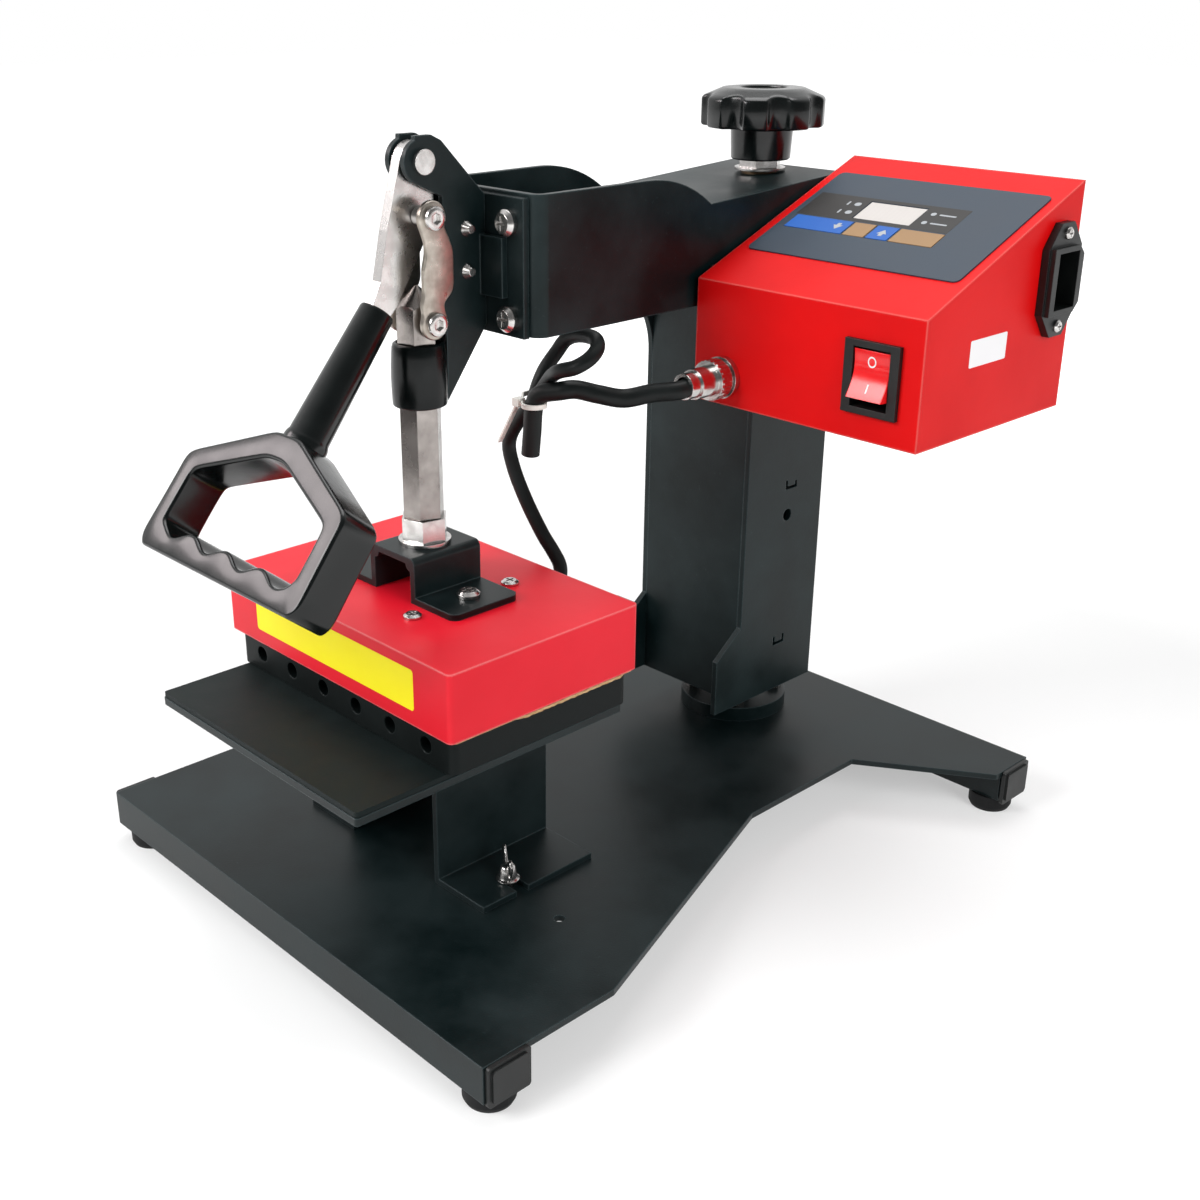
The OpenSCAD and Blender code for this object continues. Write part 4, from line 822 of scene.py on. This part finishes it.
def build_ridges():
    """Grip ridges round the plug's coupling ring and teeth along the strap's tail."""
    ridges = repeat_tree("grip_ridges", "circle")
    teeth = repeat_tree("strap_teeth", "line")
    repeated("coupling_ridges", ridges, {
        "Count": 24, "Radius": 8.85 * MM, "Length": 5.2 * MM, "Width": 0.9 * MM,
        "Material": BRIGHT_ZINC}, along_y(56, -93.6, 239), "arm")
    repeated("strap_tail_teeth", teeth, {
        "Count": 17, "Length": 1.8 * MM, "Width": 0.45 * MM, "Pitch": 1.1 * MM,
        "Material": NYLON_WHITE},
        Matrix.Translation(spot(2.0, -163.7, 230.6)) @ Matrix.Rotation(math.radians(32), 4, "Y")
        @ Matrix.Translation((0.5 * MM, 1.2 * MM, -4 * MM))
        @ Matrix.Rotation(math.radians(90), 4, "Y")
        @ Matrix.Rotation(math.radians(90), 4, "X"), "arm")


def sticker(name, outline, to_place, material, body, thick=0.12):
    """A thin film of the given outline that rides on a body."""
    piece = plate(name, outline, thick, to_place, material)
    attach(piece, body)
    return piece


def build_stickers():
    """Blank label on the cover's front, blank label and keypad printing on the box."""
    sticker("cover_label", round_outline(114, 18.4, 1.5, 0, 142.3),
            lambda x, z, h: spot(x, COVER_FRONT_Y - h, z), STICKER_YELLOW, "press")
    sticker("box_label", round_outline(27.6, 11.6, 0.8, -39.2, 262),
            lambda y, z, h: spot(BOX_SIDE_X + h, y, z), STICKER_WHITE, "arm")

    def panel(x, s, h):
        return on_panel(x, s, FILM_THICK + h)

    # the black zone round the display window, in four bits
    zone = [(8.8, 61.6), (89.8, 61.6), (89.8, 82), (8.8, 82)]
    window = [(38.4, 63.9), (69.1, 63.9), (69.1, 79.6), (38.4, 79.6)]
    bits = [
        ("zone_left", [zone[0], (window[0][0], zone[0][1]), (window[0][0], zone[2][1]), zone[3]]),
        ("zone_right", [(window[1][0], zone[0][1]), zone[1], zone[2], (window[1][0], zone[2][1])]),
        ("zone_low", [(window[0][0], zone[0][1]), (window[1][0], zone[0][1]),
                      window[1], window[0]]),
        ("zone_high", [window[3], window[2],
                       (window[1][0], zone[2][1]), (window[0][0], zone[2][1])]),
    ]
    for name, outline in bits:
        sticker("display_" + name, outline, panel, FILM_BLACK, "arm", 0.03)

    # plain indicator dots and dashes beside the display, no lettering
    def mark(name, x, s, w, h):
        sticker(name, round_outline(w, h, min(w, h) * 0.45, x, s, 3),
                lambda a, b, c: on_panel(a, b, FILM_THICK + 0.03 + c),
                FILM_WHITE, "arm", 0.02)

    for row, s in enumerate((75.5, 68)):
        mark(f"left_dash_{row}", 28.5, s, 1.0, 3.2)
        mark(f"left_dot_{row}", 33.6, s, 3.4, 3.0)
        mark(f"right_dot_{row}", 74.2, s, 2.6, 2.6)
        mark(f"right_dash_{row}", 81.5, s, 8.5, 1.1)

    # arrows printed on the two blue keys ride on their keys
    def arrow(name, x, s, turn, key):
        points = [(-2.6, 1.0 * turn), (0, -2.4 * turn), (2.6, 1.0 * turn), (1.0, 1.0 * turn),
                  (1.0, 2.8 * turn), (-1.0, 2.8 * turn), (-1.0, 1.0 * turn)]
        sticker(name, [(x + a, s + b) for a, b in points],
                lambda a, b, c: on_panel(a, b, 0.82 + c), FILM_WHITE, key, 0.03)

    arrow("arrow_down", 36.6, 55.3, 1, "set_key")
    arrow("arrow_up", 61.2, 55.3, -1, "up_key")


def build_rocker():
    """The red rocker with its hollowed face, the plain circle and the bar."""
    tip = math.radians(-12)
    pivot = (136.5, -81.0, 253.3)

    def on_rocker(x, y, z):
        c, t = math.cos(tip), math.sin(tip)
        return spot(pivot[0] + x, pivot[1] + y * c - z * t, pivot[2] + y * t + z * c)

    def face(z):
        return -6.8 - 2.4 * (abs(z) / 10.3) ** 1.7

    side = [(face(z), z) for z in [10.2 - 0.85 * k for k in range(25)]]
    side = [(face(10.2) + 0.5, 10.3)] + side + [(face(10.2) + 0.5, -10.3),
            (1.5, -9), (3.4, -4), (3.4, 4), (1.5, 9)]
    rings = [[on_rocker(x, y + (0.35 if s and y < -6 else 0), z * (1 - s * 0.03))
              for y, z in side]
             for x, s in ((-9, 1), (-8.65, 0), (8.65, 0), (9, 1))]
    body = outward(new_piece("rocker_moulding", *loft(rings), ROCKER_RED))
    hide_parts("switch_rocker")
    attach(body, "rocker")
    circle = []
    for k in range(32):
        a = 2 * math.pi * k / 32
        ring = []
        for r, lift in ((1.5, 0.01), (1.5, 0.06), (2.1, 0.06), (2.1, 0.01)):
            z = 5.6 + r * 1.1 * math.sin(a)
            ring.append(on_rocker(r * math.cos(a), face(z) - lift, z))
        circle.append(ring)
    bar = [[on_rocker(x, face(z) - lift, z) for x, lift in
            ((-0.35, 0.01), (-0.35, 0.06), (0.35, 0.06), (0.35, 0.01))]
           for z in (-3.6, -4.6, -5.6, -6.6, -7.4)]
    for name, rings, closed in (("rocker_circle", circle, True), ("rocker_bar", bar, False)):
        mark = outward(new_piece(name, *loft(rings, around=closed), STICKER_WHITE, smooth=False))
        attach(mark, "rocker")


# ------------------------------------------------------------------- studio

def floor_material():
    """Matt grey paper that also glows for the camera and in reflections, faintly near the object
    and fully far out: a painted brightness that keeps soft shadows near the object and turns
    into plain white far out, where the sweep would rise behind it."""
    material, tree, at, shader = start("paper_sweep")
    tree.nodes.remove(shader)
    paper = add(tree, "ShaderNodeBsdfDiffuse", values={"Color": colour("#c4c4c4")})
    rays = add(tree, "ShaderNodeLightPath").outputs
    seen = add(tree, "ShaderNodeMath", {"operation": "MAXIMUM"}, links={
        0: rays["Is Camera Ray"], 1: rays["Is Glossy Ray"]}).outputs["Value"]
    far = spread(tree, add(tree, "ShaderNodeVectorMath", {"operation": "LENGTH"},
                           links={0: at}).outputs["Value"], 0.45, 1.1, 0.42, 1.0)
    level = add(tree, "ShaderNodeMath", {"operation": "MULTIPLY"}, links={0: seen, 1: far})
    # the painted glow, seen only by the camera and in reflections, stronger with distance
    glow = add(tree, "ShaderNodeEmission", links={"Strength": level.outputs["Value"]})
    both = add(tree, "ShaderNodeAddShader", links={0: paper.outputs[0], 1: glow.outputs[0]})
    out = next(n for n in tree.nodes if n.type == "OUTPUT_MATERIAL")
    tree.links.new(both.outputs[0], out.inputs["Surface"])
    return material


def build_air():
    """White behind the object, dark towards the camera as in a real studio, so
    that glossy and plated pieces get contrast; plain white where it is seen."""
    world = bpy.data.worlds.new("studio_air")
    bpy.context.scene.world = world
    world.use_nodes = True
    tree = world.node_tree
    tree.nodes.clear()
    rays = add(tree, "ShaderNodeLightPath").outputs
    heading = add(tree, "ShaderNodeTexCoord").outputs["Generated"]
    behind = add(tree, "ShaderNodeVectorMath", {"operation": "DOT_PRODUCT"},
                 {1: (-0.70, 0.66, 0.27)}, {0: heading}).outputs["Value"]
    shine = spread(tree, behind, -0.25, 0.45, 0.16, 1.0)
    level = add(tree, "ShaderNodeMix", {"data_type": "FLOAT"}, {2: 0.33},
                {"Factor": rays["Is Glossy Ray"], 3: shine}).outputs[0]
    clear = add(tree, "ShaderNodeMath", {"operation": "MAXIMUM"}, links={
        0: rays["Is Camera Ray"], 1: rays["Is Transmission Ray"]}).outputs["Value"]
    level = add(tree, "ShaderNodeMix", {"data_type": "FLOAT"}, {3: 1.0},
                {"Factor": clear, 2: level}).outputs[0]
    air = add(tree, "ShaderNodeBackground", values={"Color": (1, 1, 1, 1)},
              links={"Strength": level})
    add(tree, "ShaderNodeOutputWorld", links={"Surface": air.outputs["Background"]})


def build_studio():
    """The floor, the air, three soft lamps and a card that only glossy faces reflect."""
    bpy.context.scene.view_settings.view_transform = "Standard"
    half, level = 6, -0.0005
    corners = [(x * half, y * half, level) for x, y in ((-1, -1), (1, -1), (1, 1), (-1, 1))]
    floor = new_piece("studio_floor", corners, [(0, 1, 2, 3)], floor_material(), smooth=False)
    build_air()
    soft_box("key_lamp", (-0.5, -1.7, 1.3), (0, 0, 0.12), (1.1, 0.9), 38)
    side = soft_box("side_lamp", (1.7, -0.2, 0.9), (0, 0, 0.15), (0.9, 1.0), 20)
    side.visible_glossy = False  # it would turn the flat steel white from the side
    soft_box("top_lamp", (-0.3, 0.4, 1.9), (0, 0, 0.1), (1.2, 1.2), 16)
    # a reflector card that only shows as a sheen on glossy faces turned to it
    card = soft_box("sheen_card", (-1.3, -1.17, 1.25), (0, -0.2, 0.2), (1.0, 0.8), 18)
    card.data.color = (1.0, 0.9, 0.91)
    card.visible_diffuse = False


make_camera()
build_cables()
finish_nodes()
build_handle()
build_knob()
build_links()
build_board_edge()
build_sleeve()
build_wing_bolts()
build_ridges()
build_stickers()
build_rocker()
build_studio()
